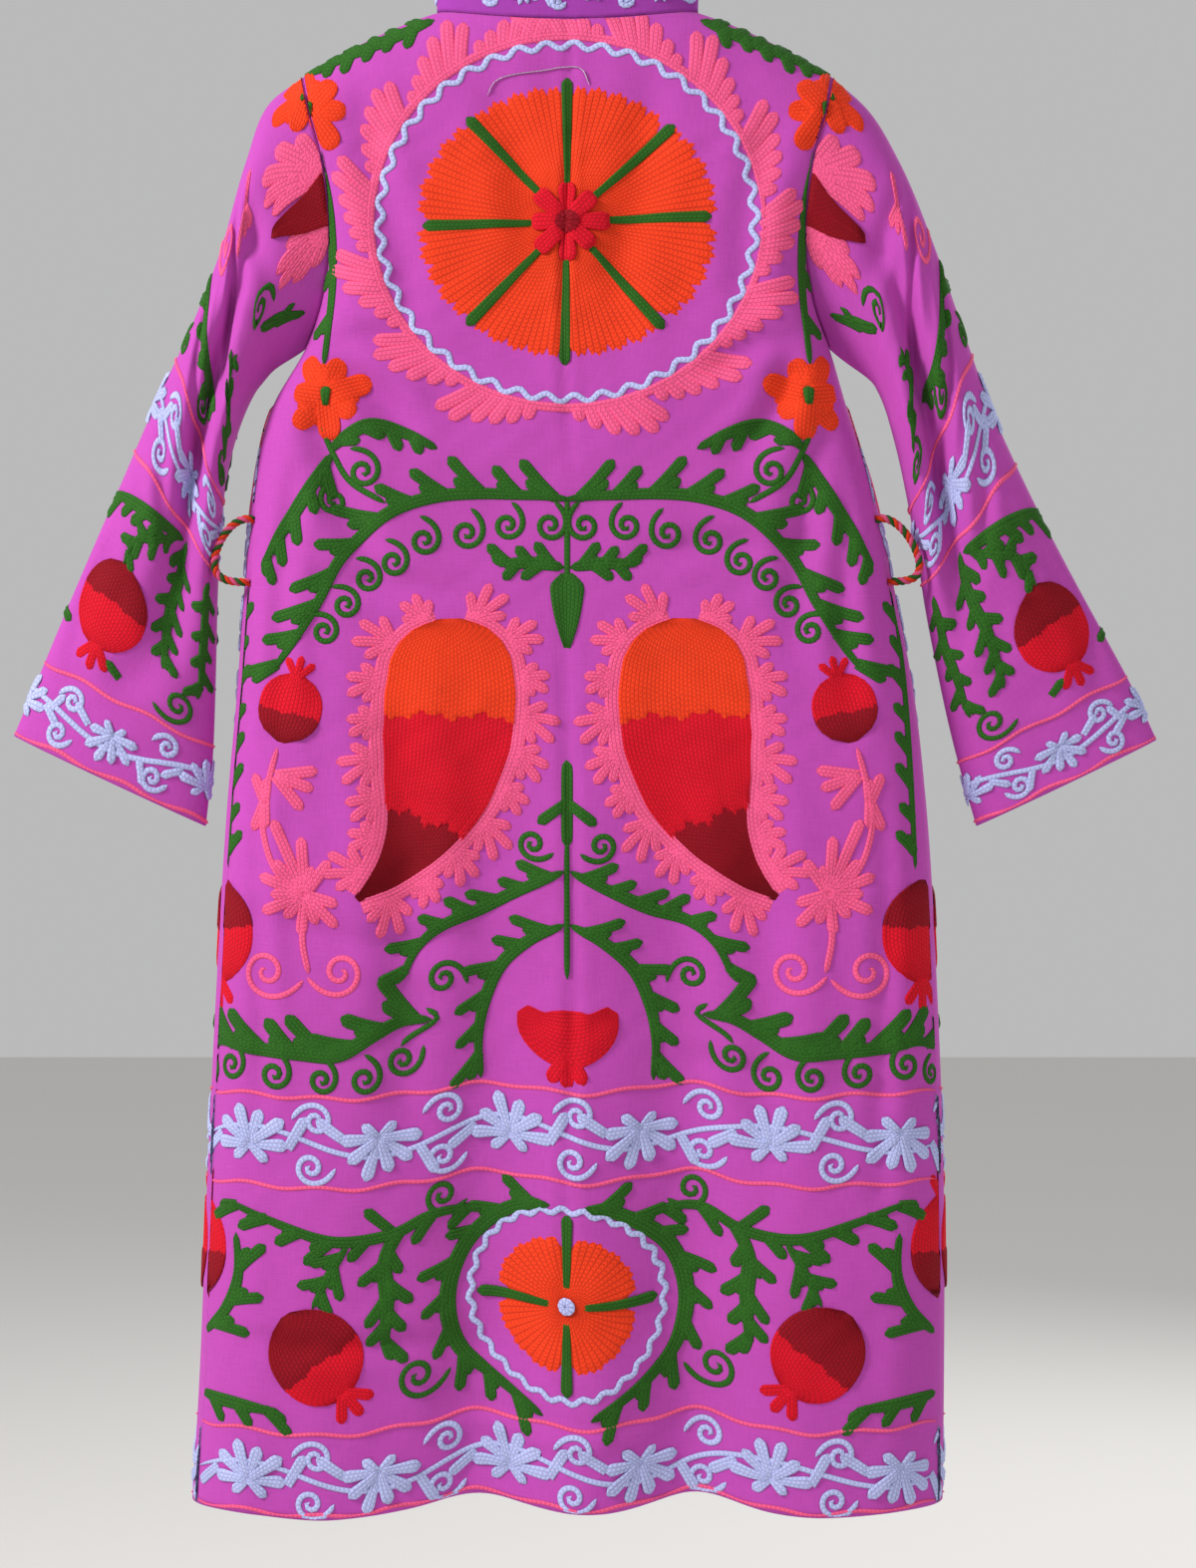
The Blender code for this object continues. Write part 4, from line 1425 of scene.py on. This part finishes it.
@dataclass(frozen=True)
class Finish:
    """A material: its name, what it is, and the numbers that its shader takes."""

    name: str
    colour: str
    roughness: float
    metallic: float = 0.0
    sheen: float = 0.0
    ior: float = 1.5
    gloss: float = 0.5  # the shader's specular level, less for cloth, which hardly shines

    def node(self, tree: bpy.types.NodeTree, kind: str, settings: dict[int | str, object]) -> bpy.types.Node:
        """Adds a node.

        Args:
            tree: the material's nodes.
            kind: the node's type name.
            settings: attributes by name, and inputs by name or number, as values or as sockets to link.

        Returns:
            The new node.
        """
        made = tree.nodes.new(kind)
        for key, value in settings.items():
            if isinstance(value, bpy.types.NodeSocket):
                tree.links.new(value, made.inputs[key])
            elif isinstance(key, int) or key in made.inputs.keys():
                made.inputs[key].default_value = value
            else:
                setattr(made, key, value)
        return made

    def start(self) -> tuple[bpy.types.Material, bpy.types.NodeTree, bpy.types.Node]:
        """A new material with the plain values set on its shader.

        Returns:
            The material, its nodes and its shader.
        """
        material = bpy.data.materials.new(self.name)
        material.use_nodes = True
        shader = material.node_tree.nodes["Principled BSDF"]
        shader.inputs["Base Color"].default_value = linear(self.colour)
        shader.inputs["Roughness"].default_value = self.roughness
        shader.inputs["Metallic"].default_value = self.metallic
        shader.inputs["IOR"].default_value = self.ior
        shader.inputs["Specular IOR Level"].default_value = self.gloss
        shader.inputs["Sheen Weight"].default_value = self.sheen
        shader.inputs["Sheen Roughness"].default_value = 0.45
        return material, material.node_tree, shader

    def vary(self, tree: bpy.types.NodeTree, shader: bpy.types.Node, shade: bpy.types.NodeSocket) -> None:
        """Gives the shader this finish's colour, made lighter and darker from place to place.

        Args:
            tree: the material's nodes.
            shader: the node whose colour is set.
            shade: how light the colour is at each place.
        """
        settings = {"data_type": "RGBA", "blend_type": "MULTIPLY", 0: 1.0, 6: linear(self.colour), 7: shade}
        mixed = self.node(tree, "ShaderNodeMix", settings)
        tree.links.new(mixed.outputs[2], shader.inputs["Base Color"])


@dataclass(frozen=True)
class ThreadFinish(Finish):
    """Soft wool-like thread in chain stitch: each stitch is a small loop, with shade painted into its colour
    where it dips and in the grooves between rows.
    """

    dye_patch: float = 26.3  # in mm, what the dye changes over
    fibre_clump: float = 1.11  # in mm, coarser than real fibres so that it shows

    def build(self) -> bpy.types.Material:
        """Makes the material. UV counts rows across and stitches along.

        Returns:
            The new material.
        """
        material, tree, shader = self.start()
        uv = self.node(tree, "ShaderNodeUVMap", {"uv_map": "rows"}).outputs[0]
        split = self.node(tree, "ShaderNodeSeparateXYZ", {0: uv})
        place = self.node(tree, "ShaderNodeTexCoord", {}).outputs["Object"]
        noise = {"Scale": 1 / (self.dye_patch * MM), "Detail": 3.0, "Vector": place}
        patchy = self.node(tree, "ShaderNodeTexNoise", noise).outputs[0]
        noise = {"Scale": 1 / (self.fibre_clump * MM), "Detail": 2.0, "Vector": place}
        fibre = self.node(tree, "ShaderNodeTexNoise", noise).outputs[0]
        made = {"across": split.outputs[0], "along": split.outputs[1], "patchy": patchy, "fibre": fibre}
        steps = (
            # A stitch's ends bend back from its row's middle, which gives the plaited look of chain stitch
            ("row", "FRACT", "across"),
            ("off_middle", "SUBTRACT", "row", 0.5),
            ("aside", "ABSOLUTE", "off_middle"),
            ("bend", "MULTIPLY", "aside", 1.1),
            ("bent", "ADD", "along", "bend"),
            ("number", "FLOOR", "across"),
            ("stagger", "MULTIPLY", "number", 0.37),
            ("shifted", "ADD", "bent", "stagger"),
            ("stitch", "FRACT", "shifted"),
            ("off_centre", "SUBTRACT", "stitch", 0.5),
            ("beat", "ABSOLUTE", "off_centre"),
            # Painted shade: dark between two stitches of a row, and darker in the grooves between two rows,
            # where shade falls
            ("end", "MULTIPLY", "beat", 2.0),
            ("sharp_end", "POWER", "end", 3.0),
            ("stitch_end_shade", "MULTIPLY", "sharp_end", 0.55),
            ("edge", "MULTIPLY", "aside", 2.0),
            ("sharp_edge", "POWER", "edge", 4.0),
            ("groove", "MULTIPLY", "sharp_edge", 0.75),
            ("dark", "MAXIMUM", "stitch_end_shade", "groove"),
            # Uneven dye, and fibres that stand out of the thread
            ("dye", "MULTIPLY", "patchy", 0.30),
            ("fuzz", "MULTIPLY", "fibre", 0.35),
            ("tone", "ADD", "dye", "fuzz"),
            ("lit", "ADD", "tone", 0.74),
            # The painted shade is taken off the thread's tone here, and the same dark marks also lower the
            # bump
            ("shadow", "MULTIPLY", "dark", 0.62),
            ("shade", "SUBTRACT", "lit", "shadow"),
            ("raised", "MULTIPLY", "fibre", 0.5),
            ("height", "SUBTRACT", "raised", "dark"),
        )
        for name, operation, *values in steps:
            inputs = {i: made.get(value, value) for i, value in enumerate(values)}
            made[name] = self.node(tree, "ShaderNodeMath", {"operation": operation, **inputs}).outputs[0]
        self.vary(tree, shader, made["shade"])
        relief = {"Strength": 0.75, "Distance": 0.0007, "Height": made["height"]}
        bump = self.node(tree, "ShaderNodeBump", relief)
        tree.links.new(bump.outputs[0], shader.inputs["Normal"])
        return material


@dataclass(frozen=True)
class CottonFinish(Finish):
    """Plain-woven cotton with slubs: a matt, slightly uneven dyed ground."""

    slub_length: float = 14.3  # in mm
    slub_width: float = 1.02  # in mm, which is two or three threads, so that it shows
    patch: float = 167.0  # in mm, what the ground's tone changes over

    def build(self) -> bpy.types.Material:
        """Makes the material, with its weave from the piece's own UV in metres.

        Returns:
            The new material.
        """
        material, tree, shader = self.start()
        uv = self.node(tree, "ShaderNodeUVMap", {"uv_map": "rows"}).outputs[0]
        # Slubs run both ways, so the ground looks woven, and broad patches keep it from looking flat
        noises = []
        long, thin = 1 / (self.slub_length * MM), 1 / (self.slub_width * MM)
        for scale in ((long, thin, 1.0), (thin, long, 1.0)):
            way = self.node(tree, "ShaderNodeMapping", {"Scale": scale, "Vector": uv}).outputs[0]
            noise = {"Scale": 1.0, "Detail": 4.0, "Vector": way}
            noises.append(self.node(tree, "ShaderNodeTexNoise", noise).outputs[0])
        add, multiply = {"operation": "ADD"}, {"operation": "MULTIPLY"}
        slub = self.node(tree, "ShaderNodeMath", {**add, 0: noises[0], 1: noises[1]}).outputs[0]
        noise = {"Scale": 1 / (self.patch * MM), "Detail": 3.0, "Vector": uv}
        broad = self.node(tree, "ShaderNodeTexNoise", noise).outputs[0]
        fine = self.node(tree, "ShaderNodeMath", {**multiply, 0: slub, 1: 0.26}).outputs[0]
        coarse = self.node(tree, "ShaderNodeMath", {**multiply, 0: broad, 1: 0.22}).outputs[0]
        tone = self.node(tree, "ShaderNodeMath", {**add, 0: fine, 1: coarse}).outputs[0]
        self.vary(tree, shader, self.node(tree, "ShaderNodeMath", {**add, 0: tone, 1: 0.66}).outputs[0])
        relief = {"Strength": 0.35, "Distance": 0.0005, "Height": slub}
        bump = self.node(tree, "ShaderNodeBump", relief)
        tree.links.new(bump.outputs[0], shader.inputs["Normal"])
        return material


@dataclass(frozen=True)
class WoodFinish(Finish):
    """Varnished beech: long fine grain under a clear satin coat."""

    line_length: float = 55.6  # in mm
    line_width: float = 3.70  # in mm, a beech board's broad lines

    def build(self) -> bpy.types.Material:
        """Makes the material, with its grain along X.

        Returns:
            The new material.
        """
        material, tree, shader = self.start()
        place = self.node(tree, "ShaderNodeTexCoord", {}).outputs["Object"]
        # Finer lines show between the broad ones, and the coat shines softly
        long, thin = 1 / (self.line_length * MM), 1 / (self.line_width * MM)
        scale = (long, thin, thin)
        grain = self.node(tree, "ShaderNodeMapping", {"Scale": scale, "Vector": place}).outputs[0]
        noise = {"Scale": 1.0, "Detail": 5.0, "Vector": grain}
        lines = self.node(tree, "ShaderNodeTexNoise", noise).outputs[0]
        dark = self.node(tree, "ShaderNodeMath", {"operation": "MULTIPLY", 0: lines, 1: 0.7}).outputs[0]
        shade = self.node(tree, "ShaderNodeMath", {"operation": "ADD", 0: dark, 1: 0.65}).outputs[0]
        self.vary(tree, shader, shade)
        shader.inputs["Coat Weight"].default_value = 0.4
        return material


@dataclass(frozen=True)
class PlainFinish(Finish):
    """One even surface, such as a plated wire that mirrors the lamps, or a matt floor."""

    def build(self) -> bpy.types.Material:
        """Makes the material."""
        return self.start()[0]


def mesh_object(name: str, points: np.ndarray, faces: np.ndarray, material: bpy.types.Material,
                uv: np.ndarray | None = None) -> bpy.types.Object:
    """A smooth mesh of quads.

    Args:
        name: the piece's name.
        points: places in space.
        faces: four point numbers a row.
        material: its finish.
        uv: one pair for each point.

    Returns:
        The new object, in the scene.
    """
    mesh = bpy.data.meshes.new(name)
    mesh.vertices.add(len(points))
    mesh.vertices.foreach_set("co", points.astype(np.float32).ravel())
    mesh.loops.add(faces.size)
    mesh.loops.foreach_set("vertex_index", faces.astype(np.int32).ravel())
    mesh.polygons.add(len(faces))
    mesh.polygons.foreach_set("loop_start", np.arange(0, faces.size, 4, dtype=np.int32))
    mesh.update(calc_edges=True)
    mesh.materials.append(material)
    if uv is not None:
        layer = mesh.uv_layers.new(name="rows")
        layer.data.foreach_set("uv", uv[faces.ravel()].astype(np.float32).ravel())
    mesh.shade_smooth()
    mesh.validate()
    made = bpy.data.objects.new(name, mesh)
    bpy.context.scene.collection.objects.link(made)
    return made


def grid_faces(rows: int, columns: int, ring: bool = False) -> np.ndarray:
    """The quads of a grid of points.

    Args:
        rows: how many rows of points there are.
        columns: how many points are in a row.
        ring: whether a row's last point joins its first.

    Returns:
        Four point numbers a quad.
    """
    r, c = np.meshgrid(np.arange(rows - 1), np.arange(columns if ring else columns - 1), indexing="ij")
    after = (c + 1) % columns
    here, below = r * columns, (r + 1) * columns
    return np.stack([here + c, below + c, below + after, here + after], axis=-1).reshape(-1, 4)


@dataclass
class Embroidery:
    """Sews a pattern to a surface: one piece for each thread."""

    surface: Surface
    materials: dict[Thread, bpy.types.Material]
    piece: str

    def sew(self, pattern: Pattern) -> list[bpy.types.Object]:
        """Builds the pieces.

        Args:
            pattern: what to sew.

        Returns:
            One object for each thread used.
        """
        made = []
        for thread, patches in pattern.patches.items():
            points, faces, uvs, start = [], [], [], 0
            for patch in patches:
                rows, columns = patch.heights.shape
                places, heights = patch.points.reshape(-1, 2), patch.heights.reshape(-1, 1)
                points.append(np.concatenate([places, heights], axis=1))
                uvs.append(patch.uv.reshape(-1, 2))
                faces.append(grid_faces(rows, columns) + start)
                start += rows * columns
            flat, quads, uv = np.concatenate(points), np.concatenate(faces), np.concatenate(uvs)
            across, down = self.surface.limits(flat[:, 0], flat[:, 1])
            held = np.stack([across, down], axis=-1)
            span = np.ptp(held[quads], axis=1)
            quads = quads[(span > 1e-7).all(axis=1)]
            if not len(quads):
                continue
            used, index = np.unique(quads, return_inverse=True)
            quads = index.reshape(quads.shape)
            place = self.surface.at(across[used], down[used])
            heights = flat[used, 2:] + list(Thread).index(thread) * THREAD_STEP
            place = place + self.surface.outward(across[used], down[used]) * heights
            name = f"{self.piece}_{thread.name.lower()}_stitches"
            corner = place[quads]
            normal = np.cross(corner[:, 1] - corner[:, 0], corner[:, 3] - corner[:, 0])
            out = self.surface.outward(across[used], down[used])[quads[:, 0]]
            turned = (normal * out).sum(axis=1) < 0
            quads[turned] = quads[turned][:, ::-1]
            made.append(mesh_object(name, place, quads, self.materials[thread], uv[used]))
            LOG.info("%s: %d faces", name, len(quads))
        return made


@dataclass
class Cloth:
    """A panel's cloth: a thin shell on its solid's form, with its embroidery."""

    name: str
    surface: Surface
    area: float
    flat: tuple[float, float]
    rests_on: list[str]
    material: bpy.types.Material
    threads: dict[Thread, bpy.types.Material]
    thickness: float = 0.0014

    def finish(self, points: np.ndarray, uv: np.ndarray, pattern: Pattern) -> bpy.types.Object:
        """Makes the shell from a grid of points on its outside, and sews its pattern to it.

        Args:
            points: a grid of points.
            uv: the weave's place at each point, in metres.
            pattern: what is sewn on it.

        Returns:
            The shell.
        """
        rows, columns = points.shape[:2]
        shell = mesh_object(f"{self.name}_cloth", points.reshape(-1, 3), grid_faces(rows, columns),
                            self.material, uv.reshape(-1, 2))
        corner = points[rows // 2 : rows // 2 + 2, columns // 3 : columns // 3 + 2]
        normal = np.cross(corner[1, 0] - corner[0, 0], corner[0, 1] - corner[0, 0])
        outward = self.probe(points, rows // 2, columns // 3)
        if normal @ outward < 0:
            shell.data.flip_normals()
        thick = shell.modifiers.new("thickness", "SOLIDIFY")
        thick.thickness = self.thickness
        thick.offset = -1
        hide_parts(self.name)
        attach(shell, "root")
        stitches = Embroidery(self.surface, self.threads, self.name).sew(pattern)
        for piece in stitches:
            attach(piece, "root")
        faces = len(shell.data.polygons)
        LOG.info("%s: %d faces of cloth, %d thread pieces", self.name, faces, len(stitches))
        return shell

    def probe(self, points: np.ndarray, row: int, col: int) -> np.ndarray:
        """Which way is out at one grid point: away from the middle of its row.

        Args:
            points: the grid of points.
            row: the point's row.
            col: the point's column.

        Returns:
            A direction that points out there.
        """
        centre = points.mean(axis=(0, 1))
        centre[1] = 0
        way = points[row, col] - centre
        return np.array([0.0, way[1], 0.0]) if abs(way[1]) > 0.005 else way


@dataclass
class BodyPanel(Cloth):
    """The back or one front."""

    columns: int = 90
    rows: int = 250

    def build(self, pattern: Pattern) -> bpy.types.Object:
        """Builds the shell row by row, over the shoulder and down to the hem.

        Args:
            pattern: what is sewn on it.

        Returns:
            The shell.
        """
        surface = self.surface
        level = LENGTH * np.linspace(0, 1, self.rows) ** 1.25  # rows crowd towards the shoulder
        quarter = math.pi / 2 * 0.94  # columns crowd towards the sides
        share = np.sin(np.linspace(-1, 1, self.columns) * quarter) / math.sin(quarter)
        if not surface.is_back:
            share = surface.side * (share + 1) / 2
        level, share = np.meshgrid(level, share, indexing="ij")
        reach = surface.turn_of(level)[2]
        start = 0.0 if surface.is_back else FRONT_EDGE
        along = start + np.abs(share) * (reach - start)
        own_side = np.full(share.shape, float(surface.side))
        side = np.where(share < 0, -1.0, 1.0) if surface.is_back else own_side
        points = surface.place(along, side, level)
        return self.finish(points, np.stack([along * side, level], axis=-1), pattern)


@dataclass
class Sleeve(Cloth):
    """A sleeve, open at its cuff."""

    def build(self, pattern: Pattern) -> bpy.types.Object:
        """Builds the shell from the surface's own grid.

        Args:
            pattern: what is sewn on it.

        Returns:
            The shell.
        """
        grid = self.surface.grid
        rows = np.linspace(0, SLEEVE_LENGTH, grid.shape[0])[:, None] + 0 * self.surface.arcs
        return self.finish(grid, np.stack([self.surface.arcs, rows], axis=-1), pattern)


@dataclass
class Collar(Cloth):
    """The standing band round the neck."""

    def build(self, pattern: Pattern) -> bpy.types.Object:
        """Builds the band from its seam up.

        Args:
            pattern: what is sewn on it.

        Returns:
            The shell.
        """
        down, across = np.meshgrid(np.linspace(0, self.surface.height, 12), self.surface.along, indexing="ij")
        points = self.surface.at(across, down)
        return self.finish(points, np.stack([across, down], axis=-1), pattern)

    def probe(self, points: np.ndarray, row: int, col: int) -> np.ndarray:
        """Which way is out: away from the middle of the neck."""
        return points[row, col] * np.array([1.0, 1.0, 0.0])


def tube(name: str, path: np.ndarray, radius: float, material: bpy.types.Material,
         sides: int = 12) -> bpy.types.Object:
    """A round rod along a path, with closed ends.

    Args:
        name: the piece's name.
        path: its middle line.
        radius: its radius.
        material: its finish.
        sides: how many faces go round it.

    Returns:
        The new object.
    """
    slope = unit(np.gradient(path, axis=0))
    aside = unit(np.cross(slope, np.array([0.31, 0.93, 0.17])))
    other = np.cross(slope, aside)
    angle = np.linspace(0, TAU, sides, endpoint=False)
    ring = aside[:, None] * np.cos(angle)[None, :, None] + other[:, None] * np.sin(angle)[None, :, None]
    points = path[:, None] + ring * radius
    ends = np.stack([np.repeat(path[:1], sides, axis=0), np.repeat(path[-1:], sides, axis=0)])
    points = np.concatenate([ends[:1], points, ends[1:]])
    return mesh_object(name, points.reshape(-1, 3), grid_faces(len(points), sides, ring=True), material)


@dataclass
class BeltLoop:
    """A loop of three twisted threads at the side seam."""

    side: int
    name: str
    top: float = 0.389
    low: float = 0.437
    lead: float = 0.004
    reach: float = 0.024
    sag: float = 0.008
    radius: float = 0.0032
    pitch: float = 0.013

    def path(self) -> np.ndarray:
        """The loop's centre line, from the seam out and back to it.

        Returns:
            The line's points.
        """
        surface = BodySurface(True)
        ends = []
        for drop in (self.top, self.low):
            level = np.array([drop])
            along = surface.turn_of(level)[2]
            side = np.array([float(self.side)])
            place = surface.place(along, side, level)[0]
            out = surface.outward(along * self.side, level)[0]
            ends.append((place, out))
        (top, top_out), (low, low_out) = ends
        start, end = top + top_out * 0.0005, low + low_out * 0.0005
        top, low = start + top_out * self.lead, end + low_out * self.lead
        angle = np.linspace(0, math.pi, 60)[:, None]
        swing = np.sin(angle)
        shift = np.concatenate([self.side * self.reach * swing, 0 * swing, -self.sag * swing**2], axis=1)
        arc = (top + low) / 2 + (top - low) / 2 * np.cos(angle) + shift
        return np.concatenate([start[None], arc, end[None]])

    def build(self, materials: Sequence[bpy.types.Material]) -> bpy.types.Object:
        """Builds the strands, the first standing for the solid.

        Args:
            materials: one thread for each strand.

        Returns:
            The first strand.
        """
        line = self.path()
        arc = np.concatenate([[0], np.cumsum(np.linalg.norm(np.diff(line, axis=0), axis=1))])
        at = np.linspace(0, arc[-1], 130)
        line = np.stack([np.interp(at, arc, line[:, i]) for i in range(3)], axis=-1)
        slope = unit(np.gradient(line, axis=0))
        aside = unit(np.cross(slope, np.array([0.0, 1.0, 0.0])))
        other = np.cross(slope, aside)
        first = None
        strand = self.radius * 0.52
        for k, material in enumerate(materials):
            angle = (at / self.pitch * TAU + TAU * k / len(materials))[:, None]
            path = line + (aside * np.cos(angle) + other * np.sin(angle)) * (self.radius - strand)
            made = tube(f"{self.name}_strand_{k + 1}", path, strand, material, 8)
            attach(made, "root")
            if first is None:
                first = made
                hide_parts(self.name)
        LOG.info("%s: %d strands", self.name, len(materials))
        return first


@dataclass
class Hanger:
    """The wooden hanger and its wire hook."""

    half_length: float = 0.195
    thickness: float = 0.013
    middle_height: float = 0.032
    end_height: float = 0.020
    wire_radius: float = 0.00175
    hook_radius: float = 0.020
    hook_sweep: float = math.radians(290)

    def build(self, wood: bpy.types.Material, steel: bpy.types.Material) -> None:
        """Builds both pieces.

        Args:
            wood: the hanger's finish.
            steel: the hook's finish.
        """
        station = np.sin(np.linspace(-1, 1, 90) * math.pi / 2)
        angle = np.linspace(0, TAU, 40, endpoint=False)
        rounding = np.sqrt(np.maximum(1 - np.abs(station) ** 14, 0.0))
        height = self.middle_height + (self.end_height - self.middle_height) * np.abs(station)
        x = station * self.half_length
        top = -HOOK_RISE - SHOULDER_CURVE * x**2
        aside = np.sign(np.sin(angle)) * np.abs(np.sin(angle)) ** 0.7
        y = self.thickness / 2 * rounding[:, None] * aside[None]
        z = (top - height / 2)[:, None] + (height / 2 * rounding)[:, None] * np.cos(angle)[None]
        points = np.stack([np.broadcast_to(x[:, None], y.shape), y, z], axis=-1)
        faces = grid_faces(len(station), len(angle), ring=True)
        bar = mesh_object("hanger_bar", points.reshape(-1, 3), faces, wood)
        turn = -math.pi / 2 + self.hook_sweep * np.linspace(0, 1, 90)
        middle = self.wire_radius - self.hook_radius
        across, up = self.hook_radius * np.cos(turn), middle + self.hook_radius * np.sin(turn)
        arc = np.stack([across, 0 * turn, up], axis=-1)
        stem = np.array([[0, 0, -HOOK_RISE + SEAM_GAP], [0, 0, middle - self.hook_radius - 0.012]])
        wire = tube("hook_wire", np.concatenate([stem, arc]), self.wire_radius, steel, 16)
        for piece, node, slot in ((bar, "hanger", "wood"), (wire, "hanger_hook", "steel")):
            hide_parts(node)
            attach(piece, "root")
            LOG.info("%s: %d faces", piece.name, len(piece.data.polygons))


class Lamp(NamedTuple):
    """A square soft lamp: its size in metres and its power in watts."""

    name: str
    place: tuple[float, float, float]
    size: float
    power: float


@dataclass
class Studio:
    """A plain pale floor, soft light and the camera."""

    floor_z: float = -1.62
    half_floor: float = 9.0
    distance: float = 2.6  # from the camera to the hook
    frame_height: float = 1.180  # what the picture shows of the robe's back, from top to bottom
    view_x: float = 0.0233
    view_z: float = -0.6866
    robe_back: float = 0.045  # from the hook to the robe's back
    robe_middle: float = -0.65  # the height that the lamps look at
    sensor: float = 24.0  # in mm, as the lens is
    sky_colour: str = "F3F3F4"
    sky_strength: float = 0.55
    lamps: tuple[Lamp, ...] = (
        Lamp("key", (-2.4, -1.4, 1.1), 0.8, 90),
        Lamp("fill", (2.4, -2.0, -0.2), 2.0, 10),
        Lamp("back", (1.4, 2.3, 0.6), 1.6, 36),
    )

    def build(self, pale: bpy.types.Material) -> None:
        """Sets the stage.

        Args:
            pale: the floor's finish.
        """
        size = self.half_floor
        corners = np.array([[-size, -size, 0], [size, -size, 0], [size, size, 0], [-size, size, 0]])
        corners[:, 2] = self.floor_z
        mesh_object("studio_floor", corners, np.array([[0, 1, 2, 3]]), pale)
        world = bpy.data.worlds.new("studio")
        world.use_nodes = True
        world.node_tree.nodes["Background"].inputs[0].default_value = linear(self.sky_colour)
        world.node_tree.nodes["Background"].inputs[1].default_value = self.sky_strength
        bpy.context.scene.world = world
        for lamp in self.lamps:
            self.area_light(lamp)
        bpy.context.scene.view_settings.view_transform = "Standard"
        camera = bpy.data.cameras.new("camera")
        camera.sensor_fit = "VERTICAL"
        camera.sensor_height = self.sensor
        camera.lens = self.sensor * (self.distance - self.robe_back) / self.frame_height
        made = bpy.data.objects.new("camera", camera)
        made.location = (self.view_x, -self.distance, self.view_z)
        made.rotation_euler = (math.pi / 2, 0, 0)
        bpy.context.scene.collection.objects.link(made)
        bpy.context.scene.camera = made

    def area_light(self, lamp: Lamp) -> None:
        """A soft lamp that looks at the robe's middle.

        Args:
            lamp: its place, size and power.
        """
        light = bpy.data.lights.new(lamp.name, "AREA")
        light.size = lamp.size
        light.energy = lamp.power
        made = bpy.data.objects.new(lamp.name, light)
        made.location = lamp.place
        way = np.array([0, 0, self.robe_middle]) - np.array(lamp.place)
        made.rotation_euler = (math.acos(-way[2] / np.linalg.norm(way)), 0, math.atan2(-way[0], way[1]))
        bpy.context.scene.collection.objects.link(made)


def main() -> None:
    """Builds the dressed robe on its hanger, and the studio."""
    logging.basicConfig(level=logging.INFO, format="%(name)s %(message)s")
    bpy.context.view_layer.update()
    # A matt dyed ground with slubs; the collar takes a darker, cooler copy of it, with shade painted into its
    # colour
    cotton = CottonFinish("orchid_plain_weave_cotton", "BC48AE", 0.9, sheen=0.04, gloss=0.25).build()
    shaded_collar_cotton = CottonFinish("purple_plain_weave_cotton", "A03CA6", 0.9, sheen=0.04, gloss=0.25).build()
    # Soft rows in one colour each, with shade painted into the grooves between them
    threads = {}
    for thread in Thread:
        name = f"{thread.name.lower()}_chain_stitch_thread"
        threads[thread] = ThreadFinish(name, thread.value, 0.8, sheen=0.02, gloss=0.2).build()
    # Long warm grain with a soft shine
    wood = WoodFinish("varnished_beech", "C08A54", 0.42).build()
    # Bright plating that mirrors the lamps, as on a new wire
    steel = PlainFinish("zinc_plated_steel_wire", "C9CBCF", 0.25, 1.0).build()
    # A matt floor, pale enough to show the robe's shadow
    pale = PlainFinish("pale_floor", "E4E2DE", 0.9).build()

    design = BodyPattern()
    half = design.half()
    middle = design.middle()
    back = half.merged(half.mirrored()).merged(middle).merged(design.bands(-292, 292))
    right = half.merged(middle).merged(design.bands(2, 330)).merged(design.side_strip(262))
    right.add(PINK, stroke([(7, 60), (7, 600), (7, LENGTH / MM - 3)], 3.2))
    hung = ["hanger_bar"]
    Hanger().build(wood, steel)
    for name, surface, area, flat, columns, pattern in (
        ("back", BodySurface(True), 0.60, (0.60, 1.145), 150, back),
        ("front_right", BodySurface(False, 1), 0.33, (0.335, 1.145), 90, right),
        ("front_left", BodySurface(False, -1), 0.33, (0.335, 1.145), 90, right.mirrored()),
    ):
        BodyPanel(name, surface, area, flat, hung, cotton, threads, columns=columns).build(pattern)
    sleeve_half = SleevePattern().half()
    for name, sections, folds, side in (
        ("sleeve_left", LEFT_SLEEVE, LEFT_SLEEVE_FOLDS, -1),
        ("sleeve_right", RIGHT_SLEEVE, RIGHT_SLEEVE_FOLDS, 1),
    ):
        surface = SleeveSurface(sections, folds, side)
        sleeve = Sleeve(name, surface, 0.165, (0.42, 0.50), ["back_cloth"], cotton, threads)
        sleeve.build(sleeve_half.merged(sleeve_half.mirrored()))
    neck = Pattern()
    neck.vine(-215, 215, 17, 12, 52)
    # The collar's cotton is the body's cotton with shade painted in: darker and cooler
    band = Collar("collar", CollarSurface(), 0.0162, (0.45, 0.036), ["back_cloth"], shaded_collar_cotton, threads)
    band.build(neck)
    strands = [threads[Thread.ORANGE], threads[Thread.GREEN], threads[Thread.PINK]]
    BeltLoop(-1, "belt_loop_left").build(strands)
    BeltLoop(1, "belt_loop_right").build(strands)
    Studio().build(pale)


if __name__ == "__main__":
    main()
